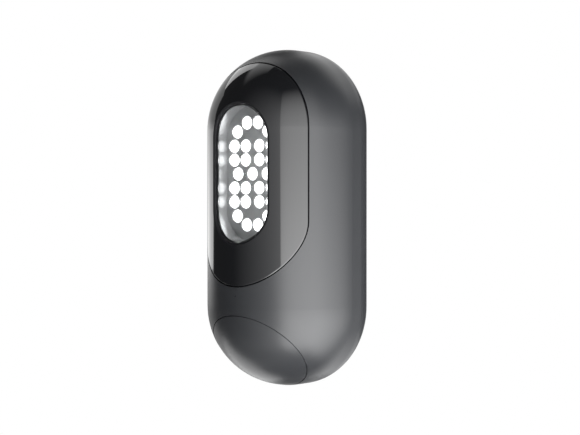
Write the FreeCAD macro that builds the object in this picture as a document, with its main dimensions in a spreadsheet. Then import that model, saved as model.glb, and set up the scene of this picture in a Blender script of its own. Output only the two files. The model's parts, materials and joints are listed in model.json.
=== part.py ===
"""Smart floodlight: a tall capsule-shaped lamp head that is screwed to a bracket by its flat back.

Frame: millimetres, X to the right, Z up, the lamp shines towards -Y. The origin is the mouth of the
threaded mount in the middle of the flat back. Depths are measured forwards from the long axis of the
capsule, insets inwards from its surface.
"""
import FreeCAD, Part
import math
import os
import re
import Sketcher

DOCUMENT = FreeCAD.newDocument("SmartFloodlight")
SHEET = DOCUMENT.addObject("Spreadsheet::Sheet", "Sizes")
PIECES = []

# Driving dimensions in millimetres and degrees: name, value, meaning
SIZES = (
    ("body_radius", 41.5, "radius of the capsule, half the width of the lamp"),
    ("end_spacing", 90, "distance between the centres of the two round ends"),
    ("straight_depth", 7.5, "straight side behind the long axis"),
    ("rear_edge_radius", 15, "round between the side and the flat back"),
    ("wall", 2.4, "wall of the moulded housing"),
    ("fit_gap", 0.15, "clearance between pieces that are fitted together"),
    ("panel_margin", 8.5, "how much narrower than the body the glossy front panel is, each side"),
    ("panel_low_centre", -1, "height of the centre of the panel's lower round end"),
    ("panel_thickness", 2.2, "wall of the front panel"),
    ("panel_seam", 0.5, "gap between the panel and the housing"),
    ("panel_tape", 0.6, "thickness of the tape under the panel"),
    ("ledge_width", 3.5, "width of the ledge that carries the panel"),
    ("ledge_thickness", 2.4, "wall of that ledge"),
    ("ledge_root", 2.5, "how far the ledge runs on behind the housing wall"),
    ("window_height", 22.2, "height of the window's centre"),
    ("window_half_width", 16, "half width of the clear lens face"),
    ("window_half_height", 33.8, "half height of the clear lens face"),
    ("window_gap", 0.9, "dark gap between the lens face and the panel"),
    ("rim_radius", 1.1, "round on the panel's edge at the window"),
    ("seam_round", 0.75, "round on the panel's edge along its seam"),
    ("lens_recess", 2.1, "how far the lens face lies below the body's surface"),
    ("lens_thickness", 2.2, "wall of the window lens"),
    ("lens_flange", 3.5, "flange of the lens beyond its face"),
    ("gasket_thickness", 0.7, "thickness of the window gasket"),
    ("tab_width", 3.2, "locating tab at the bottom of the lens"),
    ("lamp_setback", 13.5, "distance of the tray's floor behind the front of the body"),
    ("tray_floor", 1.5, "thickness of the tray's floor"),
    ("tray_margin", 0.4, "how much wider the tray is than the lens face"),
    ("tray_wall", 1.2, "wall of the tray"),
    ("tray_flange", 1.5, "thickness of the tray's flange under the lens"),
    ("ear_gap", 0.3, "gap between the tray's wall and its ears"),
    ("ear_rise", 14, "height of the tray's ears from the window's centre"),
    ("ear_radius", 2.5, "radius of the tray's ears"),
    ("ear_length", 7, "length of the tray's ears"),
    ("ear_rib", 1.6, "thickness of the rib from the wall to an ear"),
    ("lamp_radius", 3.3, "radius of one lamp dome"),
    ("lamp_dome", 1.9, "height of one lamp dome over its chip"),
    ("chip_side", 3.5, "side of one light emitting chip"),
    ("chip_height", 0.8, "height of that chip"),
    ("row_pitch", 7.05, "pitch of the middle lamp rows"),
    ("shoulder_row", 21.3, "height of the shoulder rows from the window's centre"),
    ("end_row", 25.7, "height of the end rows from the window's centre"),
    ("middle_column", 9.35, "outer lamps of the middle row"),
    ("inner_column", 4.4, "inner lamps of the rows of four"),
    ("outer_column", 11.8, "outer lamps of the rows of four"),
    ("shoulder_column", 9.75, "lamps of the shoulder rows"),
    ("end_column", 3.6, "lamps of the end rows"),
    ("lamp_board", 1.6, "thickness of the lamp board"),
    ("pad_thickness", 0.5, "thickness of the thermal pad"),
    ("sink_plate", 3, "plate of the heat sink"),
    ("sink_margin", 5.4, "how far that plate runs past the tray's wall"),
    ("fin_length", 12, "length of the fins"),
    ("fin_thickness", 1.4, "thickness of a fin"),
    ("fin_pitch", 5, "pitch of the fins"),
    ("fin_count", 8, "number of fins"),
    ("wire_notch", 7, "width of the notch for the lamp wires"),
    ("long_boss_offset", 1.5, "how far the long bosses stand outside the heat sink's plate"),
    ("long_boss_rise", 26.5, "height of the long bosses from the window's centre"),
    ("long_boss_radius", 3, "radius of the long bosses"),
    ("lug_radius", 3.8, "radius of the heat sink's lugs"),
    ("cover_margin", 3.5, "flat margin of the housing round the rear cover"),
    ("cover_seam", 0.3, "gap between the rear cover and the housing"),
    ("cover_thickness", 2.2, "wall of the rear cover"),
    ("cover_gasket", 0.6, "thickness of the rear cover's gasket"),
    ("rear_ledge_width", 4.5, "width of the ledge that carries the rear cover"),
    ("rear_ledge_thickness", 2.6, "wall of that ledge"),
    ("rear_ledge_root", 2.7, "how far that ledge runs on under the back"),
    ("cover_screw_margin", 2.1, "distance of the rear cover's screws from its edge"),
    ("cover_head_depth", 1.5, "depth of the recesses for these screws' heads"),
    ("cover_screw_rise", 32, "height of its side screws from the middle"),
    ("cover_boss_radius", 2.3, "radius of the bosses for these screws"),
    ("cover_boss_length", 5, "length of these bosses"),
    ("mount_bore_radius", 3.175, "radius of the mount's thread"),
    ("mount_length", 8, "length of the threaded insert"),
    ("mount_insert_radius", 5.2, "outer radius of the threaded insert"),
    ("mount_boss_radius", 8, "radius of the boss round the insert"),
    ("mount_boss_floor", 1.4, "floor of that boss"),
    ("standoff_length", 8.8, "length of the main board's standoffs"),
    ("standoff_radius", 2.6, "radius of the standoffs"),
    ("standoff_margin", 4.5, "distance of the standoffs from the board's straight sides"),
    ("standoff_past", 6, "how far the standoffs lie past those sides' ends"),
    ("standoff_floor", 3, "solid root of a standoff behind its pilot hole"),
    ("board_thickness", 1.6, "thickness of the control boards"),
    ("board_margin", 1.8, "how much narrower than the rear opening the main board is, each side"),
    ("board_end_margin", 3, "how much shorter than the body's its straight sides are, each end"),
    ("inlet_half_width", 4.47, "half width of the inlet's slot"),
    ("inlet_half_height", 1.63, "half height of the inlet's slot"),
    ("inlet_wall", 0.35, "wall of the inlet's shell"),
    ("inlet_depth", 7, "depth of the inlet's slot"),
    ("inlet_recess", 0.5, "how far the inlet's mouth lies inside the cover"),
    ("seal_width", 1.5, "width of the rubber seal round the inlet"),
    ("seal_thickness", 1.8, "thickness of that seal"),
    ("service_height", -28, "height of the inlet and the button"),
    ("button_margin", 7.3, "distance of the button from the edge of the rear opening"),
    ("button_radius", 2.4, "radius of the button's cap"),
    ("button_gap", 0.3, "clearance round the button"),
    ("button_recess", 0.4, "how far the cap lies inside the cover"),
    ("button_flange", 1.1, "width of the button's flange"),
    ("button_travel", 0.5, "how far the button is pressed"),
    ("stem_radius", 1.4, "radius of the button's stem"),
    ("switch_side", 6, "side of the switch under the button"),
    ("switch_height", 3.6, "height of that switch"),
    ("plunger_radius", 1.1, "radius of the switch's plunger"),
    ("plunger_reach", 0.8, "how far the plunger stands out of the switch"),
    ("vent_height", 28, "height of the breathing holes"),
    ("vent_hole_radius", 0.6, "radius of one breathing hole"),
    ("vent_circle", 1.8, "distance of the breathing holes from their middle"),
    ("vent_radius", 4, "radius of the vent membrane"),
    ("pir_tilt", 45, "angle of the sensor dome below the horizontal"),
    ("pir_cap_height", 9.8, "height of the cap that the sensor dome takes off the round end"),
    ("pir_seam", 0.4, "gap between the dome and the housing"),
    ("pir_drop", 0.1, "how much lower the dome is than the round end"),
    ("pir_wall", 1.4, "wall of the dome"),
    ("pir_skirt", 2.9, "depth of the dome's skirt below its seam"),
    ("pir_gasket_thickness", 0.4, "thickness of the gasket under the dome"),
    ("pir_ledge_width", 3.3, "width of the ledge under the dome"),
    ("pir_ledge_thickness", 2.5, "wall of that ledge"),
    ("carrier_length", 13.9, "length of the sensor's cup"),
    ("carrier_wall", 1.6, "wall of the cup"),
    ("carrier_flange", 4.5, "width of the cup's flange"),
    ("carrier_base_radius", 13, "radius of the cup's base"),
    ("carrier_flange_thickness", 2.3, "thickness of the cup's flange"),
    ("pir_can_radius", 4.1, "radius of the motion sensor"),
    ("pir_can_height", 4.2, "height of the motion sensor"),
    ("pir_board_width", 30, "width of the sensor board"),
    ("pir_board_margin", 1.5, "how far the sensor board runs on past the status lamp"),
    ("pir_board_down", 15, "how far it runs down"),
    ("pinhole_height", -38.9, "height of the pinhole below the panel"),
    ("pinhole_radius", 0.35, "radius of the pinhole"),
    ("pipe_radius", 1.2, "radius of the status light pipe"),
    ("status_gap", 0.9, "gap between the status lamp and the light pipe"),
    ("status_height", 0.8, "height of the status lamp"),
    ("sleeve_length", 7, "length of the sleeve that holds the light pipe"),
    ("sleeve_wall", 1.1, "wall of that sleeve"),
    ("harness_radius", 1.1, "radius of the two wire runs"),
    ("pir_run", 9, "straight length of the sensor's wires behind its board"),
    ("socket_height", 4.5, "height of the wire sockets"),
    ("sink_shank", 1.25, "shank radius of the heat sink's screws"),
    ("tray_shank", 0.9, "shank radius of the tray's screws"),
    ("cover_shank", 1, "shank radius of the rear cover's screws"),
    ("board_shank", 0.9, "shank radius of the main board's screws"),
    ("carrier_shank", 0.8, "shank radius of the sensor cup's screws"),
    ("sensor_shank", 0.75, "shank radius of the sensor board's screws"),
    ("head_ratio", 2.1, "radius of a screw's head over that of its shank"),
    ("head_height_ratio", 1.45, "height of a screw's head over the radius of its shank"),
    ("pilot_gap", 0.05, "clearance round a shank in its pilot hole"),
    ("shank_gap", 0.4, "clearance round a shank where it passes through"),
    ("head_gap", 0.25, "clearance round a screw's head in its recess"),
    ("run_out", 1, "how far a cutting shape runs past a face"),
    ("ear_cap", 1, "solid end of a tray ear in front of its pilot hole"),
    ("lamp_gap", 0.1, "clearance round a lamp in the tray's floor"),
    ("long_pilot_depth", 9, "depth of the pilot holes in the long bosses"),
    ("long_screw_bite", 7, "length of a heat sink screw inside its boss"),
    ("cover_screw_bite", 3, "length of a rear cover screw inside its boss"),
    ("pir_ledge_root", 4.3, "how far the sensor's seat runs on behind the housing wall"),
    ("seat_pilot_share", 0.85, "share of the sensor's ledge that its pilot holes go into"),
    ("sensor_screw_across", 9.5, "distance of the sensor board's screws from the middle"),
    ("status_width", 2, "width of the status lamp"),
    ("status_length", 1.4, "length of the status lamp"),
    ("insert_groove", 0.5, "depth of the groove round the threaded insert"),
    ("membrane_thickness", 0.3, "thickness of the vent membrane"),
    ("tongue_width", 6.7, "width of the inlet's tongue"),
    ("tongue_thickness", 0.7, "thickness of that tongue"),
    ("tongue_setback", 0.8, "how far it ends behind the inlet's mouth"),
    ("seal_gap", 0.02, "clearance between the inlet's shell and its seal"),
    ("button_chamfer", 0.4, "chamfer on the button's cap"),
    ("button_flange_thickness", 0.8, "thickness of the button's flange"),
    ("plunger_depth", 1.44, "length of the plunger inside the switch"),
    ("processor_side", 12, "side of the processor"),
    ("processor_height", 1.3, "height of the processor"),
    ("processor_rise", 6, "its place above the middle"),
    ("shield_width", 16, "width of the radio's shield"),
    ("shield_length", 18, "length of the radio's shield"),
    ("shield_height", 2.4, "height of the radio's shield"),
    ("shield_rise", 26, "its place above the middle"),
    ("antenna_width", 18, "width of the antenna"),
    ("antenna_length", 6, "length of the antenna"),
    ("antenna_height", 0.8, "thickness of the antenna"),
    ("antenna_rise", 50, "its place above the middle"),
    ("led_socket_width", 8, "width of the lamp wires' socket"),
    ("pir_socket_width", 6, "width of the sensor wires' socket"),
    ("socket_length", 5, "length of both sockets"),
    ("inductor_radius", 5.2, "radius of the driver's inductor"),
    ("inductor_height", 5.5, "height of the driver's inductor"),
    ("inductor_across", 6, "its distance from the middle"),
    ("inductor_rise", -13, "its place below the middle"),
    ("capacitor_radius", 3.5, "radius of the driver's capacitors"),
    ("capacitor_height", 9, "height of these capacitors"),
    ("capacitor_across", 7, "their distance from the middle"),
    ("capacitor_rise", -12.5, "the place between them, below the middle"),
    ("capacitor_pitch", 9, "distance between them"),
    ("lamp_wire_across", 8, "distance of the lamp wires' socket from the middle"),
    ("lamp_wire_lead", 10, "straight length of the lamp wires behind their board"),
    ("lamp_wire_end", 9, "straight length of the lamp wires before their socket"),
    ("sensor_wire_across", 5, "distance of the sensor wires from the middle"),
    ("sensor_wire_up", -2, "place of the sensor wires on their board, above its middle"),
)
ALIASES = {name for name, value, meaning in SIZES}

# How near a point has to be to a line to count as on it
CLOSE = 0.01

# Turns of a piece about the X axis, from its own Z axis
TO_FRONT = "90"
TO_BACK = "-90"
TO_DOME = "90 + pir_tilt"

# Places worked out from the sheet
AXIS = "(straight_depth + rear_edge_radius)"
CAVITY = "(body_radius - wall)"
PANEL_HALF_WIDTH = "(body_radius - panel_margin)"
RECESS_HALF_WIDTH = "(body_radius - panel_margin + panel_seam)"
OPENING = "(body_radius - panel_margin + panel_seam - ledge_width)"
LEDGE_INSET = "(panel_thickness + panel_tape)"
LENS_INNER = "(lens_recess + lens_thickness)"
TRAY_HALF_WIDTH = "(window_half_width + tray_margin + tray_wall)"
WINDOW_REACH = "(window_half_height - window_half_width)"
LAMP_DEPTH = "(body_radius - lamp_setback)"
BOARD_FACE = "(body_radius - lamp_setback - tray_floor)"
SINK_FACE = f"({BOARD_FACE} - lamp_board - pad_thickness)"
SINK_BACK = f"({SINK_FACE} - sink_plate)"
EAR_ACROSS = f"({TRAY_HALF_WIDTH} + ear_gap + ear_radius)"
LONG_BOSS_ACROSS = f"({TRAY_HALF_WIDTH} + sink_margin + long_boss_offset)"
COVER_SEAT = "(cover_thickness + cover_gasket)"
COVER_HALF_WIDTH = "(body_radius - rear_edge_radius - cover_margin)"
REAR_OPENING = f"({COVER_HALF_WIDTH} + cover_seam - rear_ledge_width)"
BOARD_HALF_WIDTH = f"({REAR_OPENING} - board_margin)"
BOARD_HALF_STRAIGHT = "(end_spacing / 2 - board_end_margin)"
STANDOFF_ACROSS = f"({BOARD_HALF_WIDTH} - standoff_margin)"
STANDOFF_RISE = f"({BOARD_HALF_STRAIGHT} + standoff_past)"
BUTTON_ACROSS = f"({REAR_OPENING} - button_margin)"
MAIN_BOARD_BACK = "(cover_thickness + standoff_length)"
MAIN_BOARD_FRONT = "(cover_thickness + standoff_length + board_thickness)"
DOME_SEAM = "(body_radius - pir_cap_height)"
DOME_EDGE = f"sqrt(body_radius ^ 2 - {DOME_SEAM} ^ 2)"
DOME_RADIUS = f"({DOME_EDGE} - pir_seam)"
DOME_SEAT = f"({DOME_SEAM} - pir_skirt - pir_gasket_thickness)"
DOME_HOLE = f"({DOME_EDGE} - pir_ledge_width)"
CARRIER_SEAT = f"({DOME_SEAT} - pir_ledge_thickness)"
CARRIER_BACK = f"({CARRIER_SEAT} - carrier_length)"
PIR_BEND = f"({CARRIER_BACK} - board_thickness - pir_run)"
STATUS_DISTANCE = f"({CARRIER_BACK} + status_height / 2)"
STATUS_RISE = f"(pinhole_height + end_spacing / 2 + {STATUS_DISTANCE} * sin(pir_tilt))"
STATUS_UP = f"({STATUS_RISE} / cos(pir_tilt))"
PIPE_START = f"({STATUS_DISTANCE} * cos(pir_tilt) + {STATUS_UP} * sin(pir_tilt) + status_gap)"


def fill_sheet():
    """Write the driving dimensions into the spreadsheet."""
    for row, (name, value, meaning) in enumerate(SIZES, start=1):
        SHEET.set(f"A{row}", meaning)
        SHEET.set(f"B{row}", str(value))
        SHEET.setAlias(f"B{row}", name)
    DOCUMENT.recompute()


def formula(text):
    """Return text as an expression on the sheet."""
    return re.sub(r"[a-z_]+", lambda word: f"Sizes.{word[0]}" if word[0] in ALIASES else word[0], text)


def size(text):
    """Return what a formula comes to, as a number."""
    return float(SHEET.evalExpression(formula(text)))


def bind(item, **formulas):
    """Bind properties of an object to formulas on the sheet."""
    for name, text in formulas.items():
        item.setExpression(name, formula(text))
    return item


def place(item, point, turn="0", about="1; 0; 0"):
    """Put an object's own origin at a point and turn it, all bound to the sheet."""
    x, y, z = point
    return bind(item, Placement=f"placement(vector({x}; {y}; {z}); rotation(vector({about}); {turn}))")


def front(depth, x="0", z="0"):
    """Return a point at a depth in front of the long axis."""
    return (x, f"-({AXIS} + {depth})", z)


def dome(distance, across="0", up="0"):
    """Return a point by its distance from the lower round end's centre along the dome's axis."""
    y = f"-({AXIS} + ({distance}) * cos(pir_tilt) + ({up}) * sin(pir_tilt))"
    z = f"-end_spacing / 2 - ({distance}) * sin(pir_tilt) + ({up}) * cos(pir_tilt)"
    return (across, y, z)


def cylinder(name, radius, length, point, turn=TO_FRONT):
    """Make a cylinder that starts at a point."""
    item = DOCUMENT.addObject("Part::Cylinder", name)
    return place(bind(item, Radius=radius, Height=length), point, turn)


def sphere(name, radius, point):
    """Make a ball round a point."""
    return place(bind(DOCUMENT.addObject("Part::Sphere", name), Radius=radius), point)


def box(name, width, depth, height, point, turn="0"):
    """Make a box round a point, which is its middle."""
    item = bind(DOCUMENT.addObject("Part::Box", name), Length=width, Width=depth, Height=height)
    x, y, z = point
    middle = f"placement(vector({x}; {y}; {z}); rotation(vector(1; 0; 0); {turn}))"
    offset = f"vector(-({width}) / 2; -({depth}) / 2; -({height}) / 2)"
    corner = f"placement({offset}; rotation(vector(1; 0; 0); 0))"
    return bind(item, Placement=f"{middle} * {corner}")


def cut(name, base, *tools):
    """Take tools away from a base."""
    item = DOCUMENT.addObject("Part::Cut", name)
    item.Base = base
    item.Tool = tools[0] if len(tools) == 1 else fuse(name + "_tools", *tools)
    return item


def fuse(name, *parts):
    """Join parts."""
    item = DOCUMENT.addObject("Part::MultiFuse", name)
    item.Shapes = list(parts)
    return item


def common(name, *parts):
    """Keep what parts share."""
    item = DOCUMENT.addObject("Part::MultiCommon", name)
    item.Shapes = list(parts)
    return item


def group(name, parts):
    """Hold separate solids together as one node."""
    item = DOCUMENT.addObject("Part::Compound", name)
    item.Links = parts
    return item


def piece(name, item, solids=1):
    """Name a finished piece and note how many solids it has."""
    item.Label = name
    PIECES.append((name, item, solids))
    return item


def new_sketch(body, name, role, offset="0"):
    """Make a sketch on one of a body's own planes."""
    plane = next(item for item in body.Origin.OriginFeatures if item.Role == role)
    sketch = body.newObject("Sketcher::SketchObject", name)
    sketch.AttachmentSupport = [(plane, "")]
    sketch.MapMode = "FlatFace"
    sketch.setExpression("AttachmentOffset.Base.z", formula(offset))
    return sketch


def limit(sketch, name, text, kind, *where):
    """Add a dimension to a sketch and bind it to a formula."""
    index = sketch.addConstraint(Sketcher.Constraint(kind, *where, size(text)))
    sketch.renameConstraint(index, name)
    sketch.setExpression("Constraints." + name, formula(text))


def polygon(sketch, points):
    """Draw a closed outline whose corners are bound to formulas."""
    corners = [FreeCAD.Vector(size(x), size(y), 0) for x, y in points]
    for start, end in zip(corners, corners[1:] + corners[:1]):
        sketch.addGeometry(Part.LineSegment(start, end), False)
    for index in range(len(points)):
        sketch.addConstraint(Sketcher.Constraint("Coincident", index, 2, (index + 1) % len(points), 1))
    for index, (x, y) in enumerate(points):
        limit(sketch, f"across_{index}", x, "DistanceX", -1, 1, index, 1)
        limit(sketch, f"along_{index}", y, "DistanceY", -1, 1, index, 1)


def turned(name, points):
    """Make a body whose outline of (radius, height) points is turned about its own Z axis."""
    body = DOCUMENT.addObject("PartDesign::Body", name)
    sketch = new_sketch(body, name + "_outline", "XZ_Plane")
    polygon(sketch, points)
    turn = body.newObject("PartDesign::Revolution", name + "_turn")
    turn.Profile = sketch
    turn.ReferenceAxis = (sketch, ["V_Axis"])
    turn.Angle = 360
    return body


def draw_stadium(sketch, half_width, top, bottom):
    """Draw an upright stadium between the heights of its two round ends' centres."""
    width, high, low = size(half_width), size(top), size(bottom)
    up = FreeCAD.Vector(0, 0, 1)
    upper = Part.Circle(FreeCAD.Vector(0, high, 0), up, width)
    lower = Part.Circle(FreeCAD.Vector(0, low, 0), up, width)
    sketch.addGeometry([
        Part.LineSegment(FreeCAD.Vector(width, low, 0), FreeCAD.Vector(width, high, 0)),
        Part.ArcOfCircle(upper, 0, math.pi),
        Part.LineSegment(FreeCAD.Vector(-width, high, 0), FreeCAD.Vector(-width, low, 0)),
        Part.ArcOfCircle(lower, math.pi, 2 * math.pi),
    ], False)
    for first, second in ((0, 1), (1, 2), (2, 3), (3, 0)):
        sketch.addConstraint(Sketcher.Constraint("Tangent", first, 2, second, 1))
    sketch.addConstraint(Sketcher.Constraint("Vertical", 0))
    sketch.addConstraint(Sketcher.Constraint("PointOnObject", 1, 3, -2))
    sketch.addConstraint(Sketcher.Constraint("PointOnObject", 3, 3, -2))
    limit(sketch, "half_width", half_width, "Radius", 1)
    limit(sketch, "upper_centre", top, "DistanceY", -1, 1, 1, 3)
    limit(sketch, "lower_centre", bottom, "DistanceY", -1, 1, 3, 3)


def draw_half_stadium(sketch, radius):
    """Draw the half outline of the capsule, to be turned about its long axis."""
    reach, half = size(radius), size("end_spacing / 2")
    up = FreeCAD.Vector(0, 0, 1)
    upper = Part.Circle(FreeCAD.Vector(0, half, 0), up, reach)
    lower = Part.Circle(FreeCAD.Vector(0, -half, 0), up, reach)
    sketch.addGeometry([
        Part.LineSegment(FreeCAD.Vector(0, -half - reach, 0), FreeCAD.Vector(0, half + reach, 0)),
        Part.ArcOfCircle(upper, 0, math.pi / 2),
        Part.LineSegment(FreeCAD.Vector(reach, half, 0), FreeCAD.Vector(reach, -half, 0)),
        Part.ArcOfCircle(lower, 1.5 * math.pi, 2 * math.pi),
    ], False)
    sketch.addConstraint(Sketcher.Constraint("Coincident", 0, 2, 1, 2))
    sketch.addConstraint(Sketcher.Constraint("Tangent", 1, 1, 2, 1))
    sketch.addConstraint(Sketcher.Constraint("Tangent", 2, 2, 3, 2))
    sketch.addConstraint(Sketcher.Constraint("Coincident", 3, 1, 0, 1))
    for arc in (1, 3):
        sketch.addConstraint(Sketcher.Constraint("PointOnObject", arc, 3, -2))
    for end in (1, 2):
        sketch.addConstraint(Sketcher.Constraint("PointOnObject", 0, end, -2))
    sketch.addConstraint(Sketcher.Constraint("Vertical", 2))
    limit(sketch, "radius", radius, "Radius", 1)
    limit(sketch, "upper_centre", "end_spacing / 2", "DistanceY", -1, 1, 1, 3)
    limit(sketch, "lower_centre", "-end_spacing / 2", "DistanceY", -1, 1, 3, 3)


def stadium(name, half_width, top, bottom, rear, length):
    """Make a stadium block from the plane y = rear forwards."""
    body = DOCUMENT.addObject("PartDesign::Body", name)
    sketch = new_sketch(body, name + "_outline", "XZ_Plane", f"-({rear})")
    draw_stadium(sketch, half_width, top, bottom)
    pad = body.newObject("PartDesign::Pad", name + "_pad")
    pad.Profile = sketch
    bind(pad, Length=length)
    return body


def panel_block(name, half_width):
    """Make a block with the front panel's outline, grown or shrunk to a half width."""
    return stadium(name, half_width, "end_spacing / 2", "panel_low_centre", front("0")[1], "2 * body_radius")


def window_block(name, margin, depth="0", length="2 * body_radius"):
    """Make a block with the window's outline, grown by a margin, from a depth forwards."""
    half_width = f"window_half_width + {margin}"
    top = f"window_height + {WINDOW_REACH}"
    bottom = f"window_height - {WINDOW_REACH}"
    return stadium(name, half_width, top, bottom, front(depth)[1], length)


def rear_block(name, half_width, inset, length):
    """Make a block with the flat back's outline from an inset inwards."""
    return stadium(name, half_width, "end_spacing / 2", "-end_spacing / 2", f"-({inset})", length)


def capsule(name, inset):
    """Make the full capsule, smaller by an inset, round the long axis."""
    body = DOCUMENT.addObject("PartDesign::Body", name)
    sketch = new_sketch(body, name + "_outline", "XZ_Plane")
    draw_half_stadium(sketch, f"body_radius - ({inset})")
    turn = body.newObject("PartDesign::Revolution", name + "_turn")
    turn.Profile = sketch
    turn.ReferenceAxis = (sketch, ["V_Axis"])
    turn.Angle = 360
    return place(body, front("0"))


def skin(name, outer, inner):
    """Make the layer of the capsule between two insets."""
    return cut(name, capsule(name + "_outside", outer), capsule(name + "_inside", inner))


def body_form(name, inset):
    """Make the lamp's outer form, smaller by an inset: round front, straight side, rounded flat back."""
    body = DOCUMENT.addObject("PartDesign::Body", name)
    outline = new_sketch(body, name + "_outline", "XZ_Plane", AXIS)
    draw_stadium(outline, f"body_radius - ({inset})", "end_spacing / 2", "-end_spacing / 2")
    pad = body.newObject("PartDesign::Pad", name + "_pad")
    pad.Profile = outline
    pad.Reversed = True
    bind(pad, Length=f"{AXIS} - ({inset})")
    DOCUMENT.recompute()
    rear = -size(inset)
    edges = [f"Edge{index}" for index, edge in enumerate(pad.Shape.Edges, start=1)
             if min(edge.BoundBox.YMin, edge.BoundBox.YMax) > rear - 0.001]
    rounding = body.newObject("PartDesign::Fillet", name + "_rear_round")
    rounding.Base = (pad, edges)
    bind(rounding, Radius=f"rear_edge_radius - ({inset})")
    profile = new_sketch(body, name + "_profile", "XZ_Plane", AXIS)
    draw_half_stadium(profile, f"body_radius - ({inset})")
    turn = body.newObject("PartDesign::Revolution", name + "_turn")
    turn.Profile = profile
    turn.ReferenceAxis = (profile, ["V_Axis"])
    turn.Angle = 180
    turn.Reversed = True
    return body


def screw(name, point, turn, head_radius, head_height, shank_radius, length):
    """Make a screw with a hexagon socket; its head's underside is at the point."""
    blank = turned(name + "_blank", [
        ("0", f"-({length})"), (f"{shank_radius} * 0.6", f"-({length})"),
        (shank_radius, f"-({length}) + {shank_radius}"), (shank_radius, "0"), (head_radius, "0"),
        (head_radius, f"{head_height} * 0.7"), (f"{head_radius} * 0.8", head_height), ("0", head_height),
    ])
    socket = DOCUMENT.addObject("Part::Prism", name + "_socket")
    socket.Polygon = 6
    bind(socket, Circumradius=f"{head_radius} * 0.5", Height=head_height)
    place(socket, ("0", "0", f"{head_height} * 0.45"))
    return place(cut(name, blank, socket), point, turn)


def screws(name, points, turn, shank_radius, length):
    """Make a node of like screws, one solid each."""
    head_radius = f"({shank_radius} * head_ratio)"
    head_height = f"({shank_radius} * head_height_ratio)"
    parts = [screw(f"{name}_{index}", point, turn, head_radius, head_height, shank_radius, length)
             for index, point in enumerate(points, start=1)]
    return piece(name, group(name + "_set", parts), len(parts))


def holes(name, points, radius, length, turn):
    """Make cylinders at points, to cut or to join."""
    return [cylinder(f"{name}_{index}", radius, length, point, turn) for index, point in enumerate(points, 1)]


def pairs(across, rise, middle="0"):
    """Return the four (x, z) places that lie across and above a middle height."""
    return [(f"{side} * {across}", f"{middle} + {level} * {rise}") for side in (-1, 1) for level in (-1, 1)]


def lamp_places():
    """Return the (x, z) places of the lamps: rows of 2, 2, 4, 4, 3, 4, 4, 2 and 2."""
    places = [("0", "window_height"), ("middle_column", "window_height"), ("-middle_column", "window_height")]
    rows = (("row_pitch", "inner_column"), ("row_pitch", "outer_column"), ("2 * row_pitch", "inner_column"),
            ("2 * row_pitch", "outer_column"), ("shoulder_row", "shoulder_column"), ("end_row", "end_column"))
    for rise, across in rows:
        places += pairs(across, rise, "window_height")
    return places


def cover_screw_places():
    """Return the (x, z) places of the rear cover's screws."""
    across = f"({COVER_HALF_WIDTH} - cover_screw_margin)"
    ends = f"(end_spacing / 2 + {across})"
    return pairs(across, "cover_screw_rise") + [("0", ends), ("0", "-" + ends)]


def carrier_screw_places():
    """Return the (across, up) places of the sensor cup's screws."""
    circle = f"({DOME_HOLE} + carrier_flange / 2)"
    return [(f"{circle} * cos({angle})", f"{circle} * sin({angle})") for angle in (90, 210, 330)]


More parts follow.
